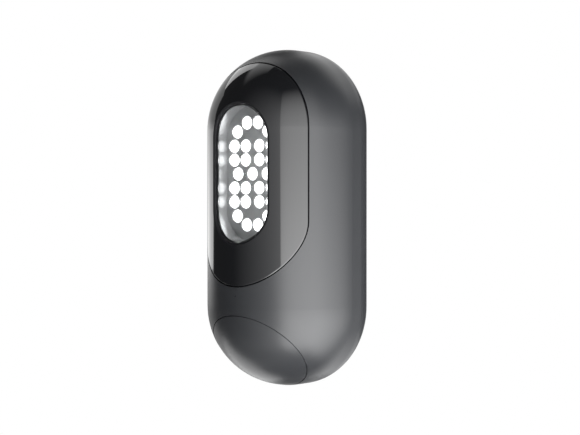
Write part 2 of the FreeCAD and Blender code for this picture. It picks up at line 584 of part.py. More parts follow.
def make_housing():
    """Make the moulded shell with its ledges, bosses and the sensor's seat."""
    shell = cut("housing_shell", body_form("housing_outside", "0"), body_form("housing_cavity", "wall"))
    ledge = common("panel_ledge", skin("panel_ledge_skin", "wall / 2", f"{LEDGE_INSET} + ledge_thickness"),
                   panel_block("panel_ledge_block", f"{RECESS_HALF_WIDTH} + ledge_root"))
    rear_ledge = rear_block("rear_ledge", f"{COVER_HALF_WIDTH} + rear_ledge_root", "wall / 2",
                            f"{COVER_SEAT} + rear_ledge_thickness - wall / 2")
    seat = common("sensor_seat", capsule("sensor_seat_limit", "wall / 2"),
                  cylinder("sensor_seat_block", f"{DOME_EDGE} + pir_ledge_root",
                           f"{DOME_SEAM} - {CARRIER_SEAT}", dome(CARRIER_SEAT), TO_DOME))
    sleeve = cylinder("pipe_sleeve", "pipe_radius + fit_gap + sleeve_wall", "sleeve_length + wall / 2",
                      front(f"{CAVITY} - sleeve_length", "0", "pinhole_height"))
    long_pairs = pairs(LONG_BOSS_ACROSS, "long_boss_rise", "window_height")
    long_bosses = holes("long_boss", [(x, "-wall / 2", z) for x, z in long_pairs], "long_boss_radius",
                        f"{AXIS} + {SINK_BACK} - wall / 2", TO_FRONT)
    screw_places = [(x, f"-{COVER_SEAT} - rear_ledge_thickness / 2", z) for x, z in cover_screw_places()]
    screw_bosses = holes("cover_boss", screw_places, "cover_boss_radius",
                         "rear_ledge_thickness / 2 + cover_boss_length", TO_FRONT)
    solid = fuse("housing_solid", shell, ledge, rear_ledge, seat, sleeve, *long_bosses, *screw_bosses)
    recess = cut("panel_recess", panel_block("panel_recess_block", RECESS_HALF_WIDTH),
                 capsule("panel_recess_floor", LEDGE_INSET))
    opening = panel_block("front_opening", OPENING)
    rear_recess = rear_block("rear_recess", f"{COVER_HALF_WIDTH} + cover_seam", "-wall",
                             f"{COVER_SEAT} + wall")
    rear_opening = rear_block("rear_opening", REAR_OPENING, "0", f"{COVER_SEAT} + 2 * rear_ledge_thickness")
    dome_recess = cylinder("dome_recess", DOME_EDGE, "body_radius", dome(DOME_SEAT), TO_DOME)
    dome_hole = cylinder("dome_hole", DOME_HOLE, "body_radius", dome(f"{CARRIER_SEAT} - wall"), TO_DOME)
    pinhole = cylinder("pinhole", "pinhole_radius", "2 * wall",
                       front(f"{CAVITY} - wall / 2", "0", "pinhole_height"))
    pipe_bore = cylinder("pipe_bore", "pipe_radius + fit_gap", "sleeve_length + fit_gap",
                         front(f"{CAVITY} - sleeve_length - fit_gap", "0", "pinhole_height"))
    long_ends = [front(f"{SINK_BACK} - long_pilot_depth", x, z) for x, z in long_pairs]
    long_pilots = holes("long_pilot", long_ends, "sink_shank + pilot_gap", "long_pilot_depth + run_out",
                        TO_FRONT)
    screw_pilots = holes("cover_pilot", screw_places, "cover_shank + pilot_gap",
                         "cover_boss_length + rear_ledge_thickness", TO_FRONT)
    ledge_pilots = holes("ledge_pilot", [(x, "0", z) for x, z in cover_screw_places()],
                         "cover_shank + pilot_gap", f"{COVER_SEAT} + rear_ledge_thickness", TO_FRONT)
    seat_places = [dome(f"{CARRIER_SEAT} - wall", x, z) for x, z in carrier_screw_places()]
    seat_pilots = holes("seat_pilot", seat_places, "carrier_shank + pilot_gap",
                        "wall + pir_ledge_thickness * seat_pilot_share", TO_DOME)
    piece("housing", cut("housing_body", solid, recess, opening, rear_recess, rear_opening, dome_recess,
                         dome_hole, pinhole, pipe_bore, *long_pilots, *screw_pilots, *ledge_pilots,
                         *seat_pilots))


def on_panel_outline(point):
    """Tell whether a point is on the outline of the front panel."""
    middle = min(max(point.z, size("panel_low_centre")), size("end_spacing / 2"))
    return abs(math.hypot(point.x, point.z - middle) - size(PANEL_HALF_WIDTH)) < CLOSE


def on_window_outline(point):
    """Tell whether a point is on the outline of the panel's window."""
    rise = abs(point.z - size("window_height"))
    reach = math.hypot(point.x, max(rise - size(WINDOW_REACH), 0))
    return abs(reach - size("window_half_width + window_gap")) < CLOSE


def skin_edges(shape, on_outline):
    """Return the numbers of the edges that lie on the capsule's surface and on an outline."""
    radius, half, axis = size("body_radius"), size("end_spacing / 2"), size(AXIS)
    numbers = []
    for number, edge in enumerate(shape.Edges, start=1):
        points = edge.discretize(5)
        on_skin = all(abs(math.hypot(point.x, point.y + axis, max(abs(point.z) - half, 0)) - radius) < CLOSE
                      for point in points)
        if on_skin and all(on_outline(point) for point in points):
            numbers.append(number)
    return numbers


def rounded(name, base, rounds):
    """Round edges of a shape: rounds holds pairs of edge numbers and a radius."""
    item = DOCUMENT.addObject("Part::Fillet", name)
    item.Base = base
    item.Edges = [(number, size(radius), size(radius)) for numbers, radius in rounds for number in numbers]
    return item


def make_front_panel():
    """Make the glossy curved panel with its rounded window."""
    plate = common("panel_plate", skin("panel_skin", "0", "panel_thickness"),
                   panel_block("panel_block", PANEL_HALF_WIDTH))
    pierced = cut("panel_pierced", plate, window_block("panel_window", "window_gap"))
    DOCUMENT.recompute()
    rim = skin_edges(pierced.Shape, on_window_outline)
    seam = skin_edges(pierced.Shape, on_panel_outline)
    piece("front_panel", rounded("panel_rounded", pierced, [(rim, "rim_radius"), (seam, "seam_round")]))
    ring = cut("tape_ring", panel_block("tape_outside", PANEL_HALF_WIDTH),
               panel_block("tape_inside", f"{OPENING} + fit_gap"))
    piece("panel_gasket", common("tape_body", skin("tape_skin", "panel_thickness", LEDGE_INSET), ring))


def make_window():
    """Make the window lens with its flange and tab, and the gasket round it."""
    gasket_inset = "(panel_thickness + gasket_thickness)"
    face = common("lens_face", skin("lens_face_skin", "lens_recess", LENS_INNER),
                  window_block("lens_face_block", "0"))
    flange = common("lens_flange_ring", skin("lens_flange_skin", gasket_inset, LENS_INNER),
                    window_block("lens_flange_block", "lens_flange"))
    low = "(window_height - window_half_height)"
    tab_block = box("lens_tab_block", "tab_width", "2 * body_radius", "2 * window_gap",
                    front("body_radius", "0", low))
    tab = common("lens_tab", skin("lens_tab_skin", "panel_thickness + fit_gap", LENS_INNER), tab_block)
    piece("window_lens", fuse("lens_body", face, flange, tab))
    ring = cut("gasket_ring", window_block("gasket_outside", "lens_flange"),
               window_block("gasket_inside", "fit_gap"),
               box("gasket_notch", "tab_width + 2 * fit_gap", "2 * body_radius",
                   "2 * window_gap + 2 * fit_gap", front("body_radius", "0", low)))
    piece("window_gasket", common("gasket_body", skin("gasket_skin", "panel_thickness", gasket_inset), ring))


def make_tray():
    """Make the reflector tray: a deep tub with lamp holes in its floor, a flange and four ears."""
    limit_inset = f"{LENS_INNER} + fit_gap"
    wall = common("tray_wall_block", capsule("tray_limit", limit_inset),
                  window_block("tray_block", "tray_margin + tray_wall", BOARD_FACE))
    flange = common("tray_flange_ring", skin("tray_flange_skin", limit_inset, f"{limit_inset} + tray_flange"),
                    window_block("tray_flange_block", "lens_flange"))
    ear_places = pairs(EAR_ACROSS, "ear_rise", "window_height")
    ears = holes("tray_ear", [front(SINK_FACE, x, z) for x, z in ear_places], "ear_radius", "ear_length",
                 TO_FRONT)
    rib_reach = "(tray_wall / 2 + ear_gap + ear_radius)"
    rib_length = "(ear_length - lamp_board - pad_thickness)"
    rib_places = pairs(f"({TRAY_HALF_WIDTH} - tray_wall / 2 + {rib_reach} / 2)", "ear_rise", "window_height")
    ribs = [box(f"tray_rib_{index}", rib_reach, rib_length, "ear_rib",
                front(f"{BOARD_FACE} + {rib_length} / 2", x, z))
            for index, (x, z) in enumerate(rib_places, start=1)]
    lamp_holes = holes("lamp_hole", [front(f"{BOARD_FACE} - wall", x, z) for x, z in lamp_places()],
                       "lamp_radius + lamp_gap", "2 * wall", TO_FRONT)
    pilots = holes("ear_pilot", [front(f"{SINK_FACE} - wall", x, z) for x, z in ear_places],
                   "tray_shank + pilot_gap", "wall + ear_length - ear_cap", TO_FRONT)
    solid = fuse("tray_solid", wall, flange, *ears, *ribs)
    piece("reflector_tray", cut("tray_body", solid, window_block("tray_hollow", "tray_margin", LAMP_DEPTH),
                                *lamp_holes, *pilots))


def make_lamps():
    """Make the lamp board, its chips and the domes over them."""
    board = window_block("board_block", "tray_margin + tray_wall", f"{BOARD_FACE} - lamp_board", "lamp_board")
    piece("led_board", board)
    chips = [box(f"chip_{index}", "chip_side", "chip_height", "chip_side",
                 front(f"{BOARD_FACE} + chip_height / 2", x, z))
             for index, (x, z) in enumerate(lamp_places(), start=1)]
    piece("led_packages", group("chip_set", chips), len(chips))
    domes = []
    ball = "((lamp_radius ^ 2 + lamp_dome ^ 2) / (2 * lamp_dome))"
    for index, (x, z) in enumerate(lamp_places(), start=1):
        seat = f"{BOARD_FACE} + chip_height"
        whole = sphere(f"dome_ball_{index}", ball, front(f"{seat} + lamp_dome - {ball}", x, z))
        stub = cylinder(f"dome_stub_{index}", "lamp_radius", "lamp_dome + run_out", front(seat, x, z))
        domes.append(common(f"dome_{index}", whole, stub))
    piece("led_domes", group("dome_set", domes), len(domes))


def make_heatsink():
    """Make the finned heat sink, the thermal pad on it and the screws that hold the stack."""
    low = "(window_height - window_half_height)"
    notch = box("wire_notch_block", "wire_notch", "3 * sink_plate + 2 * fin_length", "4 * sink_plate",
                front(SINK_BACK, "0", f"{low} - sink_plate"))
    pad = window_block("pad_block", "tray_margin", SINK_FACE, "pad_thickness")
    piece("thermal_pad", cut("pad_body", pad, notch))
    plate = window_block("sink_block", "tray_margin + tray_wall + sink_margin", SINK_BACK, "sink_plate")
    lug_places = pairs(LONG_BOSS_ACROSS, "long_boss_rise", "window_height")
    lugs = holes("sink_lug", [front(SINK_BACK, x, z) for x, z in lug_places], "lug_radius", "sink_plate",
                 TO_FRONT)
    bars = [box(f"sink_bar_{level}", f"2 * {LONG_BOSS_ACROSS}", "sink_plate", "1.6 * lug_radius",
                front(f"{SINK_BACK} + sink_plate / 2", "0", f"window_height + {level} * long_boss_rise"))
            for level in (-1, 1)]
    fin_area = window_block("fin_area", "tray_margin + tray_wall + fin_thickness / 2",
                            f"{SINK_BACK} - fin_length", "fin_length + sink_plate / 2")
    fins = []
    count = round(size("fin_count"))
    for index in range(count):
        across = f"({index} - (fin_count - 1) / 2) * fin_pitch"
        fins.append(box(f"fin_{index}", "fin_thickness", "fin_length + sink_plate", "4 * window_half_height",
                        front(f"{SINK_BACK} - fin_length / 2", across, "window_height")))
    trimmed = common("sink_fins", fuse("fin_set", *fins), fin_area)
    lug_holes = holes("lug_hole", [front(f"{SINK_BACK} - run_out", x, z) for x, z in lug_places],
                      "sink_shank + shank_gap", "sink_plate + 2 * run_out", TO_FRONT)
    ear_places = pairs(EAR_ACROSS, "ear_rise", "window_height")
    ear_holes = holes("ear_hole", [front(f"{SINK_BACK} - run_out", x, z) for x, z in ear_places],
                      "tray_shank + shank_gap", "sink_plate + 2 * run_out", TO_FRONT)
    piece("heatsink", cut("sink_body", fuse("sink_solid", plate, trimmed, *lugs, *bars), notch, *lug_holes,
                          *ear_holes))
    screws("heatsink_screws", [front(SINK_FACE, x, z) for x, z in lug_places], TO_FRONT, "sink_shank",
           "sink_plate + long_screw_bite")
    screws("tray_screws", [front(SINK_BACK, x, z) for x, z in ear_places], TO_BACK, "tray_shank",
           "sink_plate + ear_length - 2 * ear_cap")


def make_sensor():
    """Make the motion sensor: its dome, gasket, cup, board, can and screws."""
    skirt_base = f"({DOME_SEAM} - pir_skirt)"
    centre = dome("0")
    outer = common("dome_outer", sphere("dome_outer_ball", "body_radius - pir_drop", centre),
                   cylinder("dome_outer_block", DOME_RADIUS, "body_radius", dome(skirt_base), TO_DOME))
    inner = common("dome_inner", sphere("dome_inner_ball", "body_radius - pir_drop - pir_wall", centre),
                   cylinder("dome_inner_block", f"{DOME_RADIUS} - pir_wall", "body_radius",
                            dome(f"{skirt_base} - run_out"), TO_DOME))
    piece("pir_lens", cut("dome_body", outer, inner))
    ring = cut("dome_gasket_body",
               cylinder("dome_gasket_outside", DOME_RADIUS, "pir_gasket_thickness", dome(DOME_SEAT), TO_DOME),
               cylinder("dome_gasket_inside", f"{DOME_HOLE} + fit_gap", "3 * pir_gasket_thickness",
                        dome(f"{DOME_SEAT} - pir_gasket_thickness"), TO_DOME))
    piece("pir_gasket", ring)
    can_hole = "pir_can_radius + fit_gap"
    rim = f"{DOME_HOLE} + carrier_flange"
    throat = "carrier_length - carrier_flange_thickness"
    cup = turned("carrier_cup", [
        (can_hole, "0"), ("carrier_base_radius", "0"), (f"{DOME_HOLE} - carrier_wall / 2", throat),
        (rim, throat), (rim, "carrier_length"), (DOME_HOLE, "carrier_length"),
        (f"{DOME_HOLE} - 1.3 * carrier_wall", f"{throat} - carrier_wall / 2"),
        ("carrier_base_radius - carrier_wall", "carrier_wall"), (can_hole, "carrier_wall"),
    ])
    place(cup, dome(CARRIER_BACK), TO_DOME)
    rim_holes = holes("rim_hole", [dome(f"{CARRIER_SEAT} - 2 * carrier_flange_thickness", x, z)
                                   for x, z in carrier_screw_places()],
                      "carrier_shank + shank_gap", "4 * carrier_flange_thickness", TO_DOME)
    board_places = [("-sensor_screw_across", "0"), ("sensor_screw_across", "0")]
    base_holes = holes("base_hole", [dome(f"{CARRIER_BACK} - run_out", x, z) for x, z in board_places],
                       "sensor_shank + pilot_gap", "carrier_wall + 2 * run_out", TO_DOME)
    piece("pir_carrier", cut("carrier_body", cup, *rim_holes, *base_holes))
    screws("pir_carrier_screws", [dome(f"{CARRIER_SEAT} - carrier_flange_thickness", x, z)
                                  for x, z in carrier_screw_places()],
           "pir_tilt - 90", "carrier_shank", "carrier_flange_thickness + 0.8 * pir_ledge_thickness")
    board_up = f"({STATUS_UP} + pir_board_margin)"
    plate = box("sensor_board_block", "pir_board_width", f"{board_up} + pir_board_down", "board_thickness",
                dome(f"{CARRIER_BACK} - board_thickness / 2", "0", f"({board_up} - pir_board_down) / 2"),
                TO_DOME)
    plate_holes = holes("sensor_board_hole", [dome(f"{CARRIER_BACK} - 2 * board_thickness", x, z)
                                              for x, z in board_places],
                        "sensor_shank + shank_gap", "3 * board_thickness", TO_DOME)
    piece("pir_board", cut("sensor_board_body", plate, *plate_holes))
    screws("pir_board_screws", [dome(f"{CARRIER_BACK} - board_thickness", x, z) for x, z in board_places],
           "pir_tilt - 90", "sensor_shank", "board_thickness + 0.8 * carrier_wall")
    can = turned("sensor_can", [
        ("0", "0"), ("pir_can_radius", "0"), ("pir_can_radius", "pir_can_height * 0.9"),
        ("pir_can_radius * 0.88", "pir_can_height"), ("0", "pir_can_height"),
    ])
    piece("pir_sensor", place(can, dome(CARRIER_BACK), TO_DOME))


def make_status_light():
    """Make the light pipe in the pinhole and the small lamp behind it."""
    shoulder = f"({CAVITY} - {PIPE_START} - fit_gap)"
    tip = f"({CAVITY} - {PIPE_START} + wall / 2)"
    tip_radius = "pinhole_radius * 0.8"
    pipe = turned("light_pipe", [
        ("0", "0"), ("pipe_radius", "0"), ("pipe_radius", shoulder),
        (tip_radius, shoulder), (tip_radius, tip), ("0", tip),
    ])
    piece("status_light_pipe", place(pipe, front(PIPE_START, "0", "pinhole_height"), TO_FRONT))
    lamp = box("status_lamp", "status_width", "status_length", "status_height",
               dome(STATUS_DISTANCE, "0", STATUS_UP), TO_DOME)
    piece("status_led", lamp)


def make_rear_cover():
    """Make the rear cover with its mount boss, standoffs and holes, its gasket and its screws."""
    past = "cover_thickness + 2 * run_out"
    plate = rear_block("cover_plate", COVER_HALF_WIDTH, "0", "cover_thickness")
    boss = cylinder("mount_boss", "mount_boss_radius",
                    "mount_length + mount_boss_floor - cover_thickness / 2", ("0", "-cover_thickness / 2", "0"))
    standoff_places = pairs(STANDOFF_ACROSS, STANDOFF_RISE)
    standoffs = holes("standoff", [(x, "-cover_thickness / 2", z) for x, z in standoff_places],
                      "standoff_radius", "standoff_length + cover_thickness / 2", TO_FRONT)
    mount_hole = cylinder("mount_hole", "mount_insert_radius", "mount_length + run_out",
                          ("0", "run_out", "0"))
    pilot_ends = [(x, "-cover_thickness - standoff_floor", z) for x, z in standoff_places]
    pilots = holes("standoff_pilot", pilot_ends, "board_shank + pilot_gap", "standoff_length", TO_FRONT)
    screw_places = cover_screw_places()
    shanks = holes("cover_hole", [(x, "run_out", z) for x, z in screw_places], "cover_shank + shank_gap",
                   past, TO_FRONT)
    heads = holes("cover_head", [(x, "run_out", z) for x, z in screw_places],
                  "cover_shank * head_ratio + head_gap", "run_out + cover_head_depth", TO_FRONT)
    slot = slot_block("cover_slot", "inlet_wall + fit_gap", "run_out", past)
    button_hole = cylinder("button_hole", "button_radius + button_gap", past,
                           (BUTTON_ACROSS, "run_out", "service_height"))
    vents = holes("vent_hole", [(f"vent_circle * cos({angle})", "run_out",
                                 f"vent_height + vent_circle * sin({angle})") for angle in (90, 210, 330)],
                  "vent_hole_radius", past, TO_FRONT)
    piece("rear_cover", cut("cover_body", fuse("cover_solid", plate, boss, *standoffs), mount_hole, slot,
                            button_hole, *pilots, *shanks, *heads, *vents))
    gasket = cut("cover_gasket_body",
                 rear_block("cover_gasket_outside", COVER_HALF_WIDTH, "cover_thickness", "cover_gasket"),
                 rear_block("cover_gasket_inside", f"{REAR_OPENING} + fit_gap", "cover_thickness - run_out",
                            "cover_gasket + 2 * run_out"),
                 *holes("gasket_hole", [(x, "0", z) for x, z in screw_places], "cover_shank + shank_gap",
                        "2 * cover_thickness", TO_FRONT))
    piece("rear_cover_gasket", gasket)
    screws("rear_cover_screws", [(x, "-cover_head_depth", z) for x, z in screw_places], TO_BACK,
           "cover_shank", f"{COVER_SEAT} - cover_head_depth + rear_ledge_thickness + cover_screw_bite")
    membrane = cylinder("membrane", "vent_radius", "membrane_thickness",
                        ("0", "-cover_thickness", "vent_height"))
    piece("vent_membrane", membrane)
    neck = "(mount_insert_radius - insert_groove)"
    insert = turned("insert_body", [
        ("mount_bore_radius", "0"), ("mount_insert_radius", "0"),
        ("mount_insert_radius", "mount_length * 0.4"),
        (neck, "mount_length * 0.45"), (neck, "mount_length * 0.55"),
        ("mount_insert_radius", "mount_length * 0.6"), ("mount_insert_radius", "mount_length"),
        ("mount_bore_radius", "mount_length"),
    ])
    piece("mount_insert", place(insert, ("0", "0", "0"), TO_FRONT))


def slot_block(name, margin, rear, length):
    """Make a lying stadium block of the inlet's outline, grown by a margin."""
    reach = "(inlet_half_width - inlet_half_height)"
    body = stadium(name, f"inlet_half_height + {margin}", reach, "-" + reach, "0", length)
    return place(body, ("0", rear, "service_height"), "90", "0; 1; 0")


def make_main_board():
    """Make the control board on the standoffs and the larger parts on it."""
    plate = stadium("main_board_block", BOARD_HALF_WIDTH, BOARD_HALF_STRAIGHT, "-" + BOARD_HALF_STRAIGHT,
                    f"-{MAIN_BOARD_BACK}", "board_thickness")
    standoff_places = pairs(STANDOFF_ACROSS, STANDOFF_RISE)
    board_holes = holes("board_hole", [(x, f"-{MAIN_BOARD_BACK} + run_out", z) for x, z in standoff_places],
                        "board_shank + shank_gap", "board_thickness + 2 * run_out", TO_FRONT)
    piece("main_board", cut("main_board_body", plate, *board_holes))
    screws("main_board_screws", [(x, f"-{MAIN_BOARD_FRONT}", z) for x, z in standoff_places], TO_FRONT,
           "board_shank", "board_thickness + standoff_length * 0.55")
    lamp_wires = "-lamp_wire_across"
    wire_end = dome(PIR_BEND, "sensor_wire_across", "sensor_wire_up")[2]
    blocks = (
        ("processor", "processor_side", "processor_height", "processor_side", "0", "processor_rise"),
        ("radio_shield", "shield_width", "shield_height", "shield_length", "0", "shield_rise"),
        ("radio_antenna", "antenna_width", "antenna_height", "antenna_length", "0", "antenna_rise"),
        ("led_socket", "led_socket_width", "socket_height", "socket_length", lamp_wires, "service_height"),
        ("pir_socket", "pir_socket_width", "socket_height", "socket_length", "sensor_wire_across", wire_end),
    )
    for name, width, height, length, x, z in blocks:
        middle = (x, f"-{MAIN_BOARD_FRONT} - {height} / 2", z)
        piece(name, box(name + "_block", width, height, length, middle))
    coil = cylinder("inductor_body", "inductor_radius", "inductor_height",
                    ("-inductor_across", f"-{MAIN_BOARD_FRONT}", "inductor_rise"))
    piece("driver_inductor", coil)
    for index, level in ((1, "1"), (2, "-1")):
        can = cylinder(f"capacitor_body_{index}", "capacitor_radius", "capacitor_height",
                       ("capacitor_across", f"-{MAIN_BOARD_FRONT}",
                        f"capacitor_rise + {level} * capacitor_pitch / 2"))
        piece(f"driver_capacitor_{index}", can)


def make_inlet():
    """Make the low-voltage inlet: its shell, tongue and seal."""
    shell = cut("inlet_body",
                slot_block("inlet_outside", "inlet_wall", "-inlet_recess",
                           f"{MAIN_BOARD_BACK} - inlet_recess"),
                slot_block("inlet_inside", "0", "run_out", "inlet_depth + inlet_recess + run_out"))
    piece("power_inlet", shell)
    reach = "(inlet_depth - tongue_setback)"
    tongue = box("inlet_tongue_block", "tongue_width", reach, "tongue_thickness",
                 ("0", f"-inlet_recess - inlet_depth + {reach} / 2", "service_height"))
    piece("inlet_tongue", tongue)
    seal = cut("inlet_seal_body",
               slot_block("seal_outside", "inlet_wall + seal_width", "-cover_thickness", "seal_thickness"),
               slot_block("seal_inside", "inlet_wall + seal_gap", "-cover_thickness + run_out",
                          "seal_thickness + 2 * run_out"))
    piece("inlet_seal", seal)


def make_button():
    """Make the reset button and the switch that it presses."""
    flange_back = "cover_thickness + button_gap"
    flange_front = f"{flange_back} + button_flange_thickness"
    flange_radius = "button_radius + button_flange"
    stem_end = f"{MAIN_BOARD_BACK} - switch_height - plunger_reach"
    cap = turned("button_body", [
        ("0", "button_recess"), ("button_radius - button_chamfer", "button_recess"),
        ("button_radius", "button_recess + button_chamfer"), ("button_radius", flange_back),
        (flange_radius, flange_back), (flange_radius, flange_front), ("stem_radius", flange_front),
        ("stem_radius", stem_end), ("0", stem_end),
    ])
    piece("reset_button", place(cap, (BUTTON_ACROSS, "0", "service_height"), TO_FRONT))
    plunger = cylinder("plunger_body", "plunger_radius", "plunger_reach + plunger_depth",
                       (BUTTON_ACROSS, f"-({stem_end})", "service_height"))
    piece("switch_plunger", plunger)
    block = box("switch_block", "switch_side", "switch_height", "switch_side",
                (BUTTON_ACROSS, f"-{MAIN_BOARD_BACK} + switch_height / 2", "service_height"))
    bore = cylinder("switch_bore", "plunger_radius + button_gap",
                    "plunger_depth + button_travel + button_gap + run_out",
                    (BUTTON_ACROSS, f"-{MAIN_BOARD_BACK} + switch_height + run_out", "service_height"))
    piece("reset_switch", cut("switch_body", block, bore))


def wire_run(name, points):
    """Make a wire run through points, with the corners rounded as widely as the runs allow."""
    corners = [FreeCAD.Vector(*(size(value) for value in point)) for point in points]
    edges = []
    start = corners[0]
    for before, corner, after in zip(corners, corners[1:], corners[2:]):
        back = (before - corner).normalize()
        ahead = (after - corner).normalize()
        reach = 0.45 * min((before - corner).Length, (after - corner).Length)
        middle = (back + ahead).normalize()
        half = math.acos(max(-1, min(1, back.dot(middle))))
        radius = reach * math.tan(half)
        top = corner + middle * (radius / math.sin(half) - radius)
        edges.append(Part.LineSegment(start, corner + back * reach).toShape())
        edges.append(Part.Arc(corner + back * reach, top, corner + ahead * reach).toShape())
        start = corner + ahead * reach
    edges.append(Part.LineSegment(start, corners[-1]).toShape())
    path = Part.Wire(edges)
    first = (corners[1] - corners[0]).normalize()
    ring = Part.Wire([Part.Circle(corners[0], first, size("harness_radius")).toShape()])
    run = DOCUMENT.addObject("Part::Feature", name + "_run")
    run.Shape = path.makePipeShell([ring], True, True)
    piece(name, run)


def make_wiring():
    """Make the two wire runs inside the housing."""
    low = "window_height - window_half_height"
    board_back = f"-({AXIS} + {BOARD_FACE} - lamp_board)"
    socket_face = f"-{MAIN_BOARD_FRONT} - socket_height"
    wire_run("led_harness", [
        ("0", board_back, low), ("0", f"{board_back} + lamp_wire_lead", low),
        ("-lamp_wire_across / 2", f"{board_back} + 1.7 * lamp_wire_lead", f"{low} - lamp_wire_across"),
        ("-lamp_wire_across", f"{socket_face} - lamp_wire_end", "service_height"),
        ("-lamp_wire_across", socket_face, "service_height"),
    ])
    start = dome(f"{CARRIER_BACK} - board_thickness", "sensor_wire_across", "sensor_wire_up")
    bend = dome(PIR_BEND, "sensor_wire_across", "sensor_wire_up")
    wire_run("pir_harness", [start, bend, ("sensor_wire_across", socket_face, bend[2])])


def check_and_write():
    """Check every object of the document, then write one STEP file for each piece."""
    DOCUMENT.recompute()
    for item in DOCUMENT.Objects:
        if "Invalid" in item.State or "Error" in item.State:
            raise ValueError(f"{item.Label} failed: {item.State}")
    for name, item, solids in PIECES:
        shape = item.Shape
        if shape.isNull() or not shape.isValid():
            raise ValueError(f"{name} has no valid shape")
        if len(shape.Solids) != solids:
            raise ValueError(f"{name} has {len(shape.Solids)} solids instead of {solids}")
    os.makedirs("parts", exist_ok=True)
    for name, item, solids in PIECES:
        item.Shape.exportStep(f"parts/{name}.step")
        print(f"{name}: {solids} solid(s), {item.Shape.Volume:.1f} mm3")


fill_sheet()
make_housing()
make_front_panel()
make_window()
make_tray()
make_lamps()
make_heatsink()
make_sensor()
make_status_light()
make_rear_cover()
make_main_board()
make_inlet()
make_button()
make_wiring()
check_and_write()
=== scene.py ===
import json
import logging
import math
from dataclasses import dataclass
from enum import Enum

import bmesh
import bpy
from mathutils import Matrix, Vector

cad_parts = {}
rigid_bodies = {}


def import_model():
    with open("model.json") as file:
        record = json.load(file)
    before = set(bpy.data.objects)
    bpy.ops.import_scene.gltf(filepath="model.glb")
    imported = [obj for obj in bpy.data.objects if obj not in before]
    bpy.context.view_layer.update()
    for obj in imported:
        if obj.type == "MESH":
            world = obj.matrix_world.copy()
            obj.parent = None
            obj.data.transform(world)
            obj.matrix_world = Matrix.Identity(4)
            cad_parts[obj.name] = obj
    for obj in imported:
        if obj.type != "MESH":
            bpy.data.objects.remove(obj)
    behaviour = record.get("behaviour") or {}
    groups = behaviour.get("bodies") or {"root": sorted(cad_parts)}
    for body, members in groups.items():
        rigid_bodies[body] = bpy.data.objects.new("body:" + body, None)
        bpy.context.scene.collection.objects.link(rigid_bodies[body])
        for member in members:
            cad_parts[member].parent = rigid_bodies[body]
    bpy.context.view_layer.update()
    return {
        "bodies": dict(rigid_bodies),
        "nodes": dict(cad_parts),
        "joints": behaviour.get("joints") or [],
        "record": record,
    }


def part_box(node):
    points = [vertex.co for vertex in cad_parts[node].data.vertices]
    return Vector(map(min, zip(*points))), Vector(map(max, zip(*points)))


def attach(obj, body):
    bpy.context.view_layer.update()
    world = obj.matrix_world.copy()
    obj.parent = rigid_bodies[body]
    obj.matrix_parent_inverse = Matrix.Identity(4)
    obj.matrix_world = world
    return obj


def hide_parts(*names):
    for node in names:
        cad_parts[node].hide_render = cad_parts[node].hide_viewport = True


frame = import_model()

LOG = logging.getLogger("floodlight")
MM = 0.001
Colour = tuple[float, float, float]


class Body(Enum):
    """The bodies of the frame that pieces move with."""

    HEAD = "lamp_head"
    BUTTON = "button"


class Wire:
    """An output of a shader node that takes part in Python expressions."""

    def __init__(self, sheet: "Sheet", socket: bpy.types.NodeSocket) -> None:
        """Wrap an output socket of a sheet."""
        self.sheet = sheet
        self.socket = socket

    def step(self, operation: str, first: "Wire | float", second: "Wire | float") -> "Wire":
        """Add one Math node.

        Args:
            operation: the node's operation.
            first: its first value.
            second: its second value.

        Returns:
            The node's result.
        """
        return self.sheet.add("ShaderNodeMath", {"operation": operation}, {0: first, 1: second})

    def __add__(self, other: "Wire | float") -> "Wire":
        """Return the sum."""
        return self.step("ADD", self, other)

    def __radd__(self, other: float) -> "Wire":
        """Return the sum, this wire being the second part."""
        return self.step("ADD", other, self)

    def __sub__(self, other: "Wire | float") -> "Wire":
        """Return the difference."""
        return self.step("SUBTRACT", self, other)

    def __rsub__(self, other: float) -> "Wire":
        """Return the difference, this wire being taken away."""
        return self.step("SUBTRACT", other, self)

    def __mul__(self, other: "Wire | float") -> "Wire":
        """Return the product."""
        return self.step("MULTIPLY", self, other)

    def __rmul__(self, other: float) -> "Wire":
        """Return the product, this wire being the second part."""
        return self.step("MULTIPLY", other, self)

    def __pow__(self, other: float) -> "Wire":
        """Return the power."""
        return self.step("POWER", self, other)

    def ramp(self, low: float, high: float) -> "Wire":
        """Return a soft step.

        Args:
            low: the value where the step begins.
            high: the value where it is whole.

        Returns:
            A wire that goes smoothly from 0 to 1 between the two.
        """
        span = {"Value": self, "From Min": low, "From Max": high}
        return self.sheet.add("ShaderNodeMapRange", {"interpolation_type": "SMOOTHSTEP"}, span)


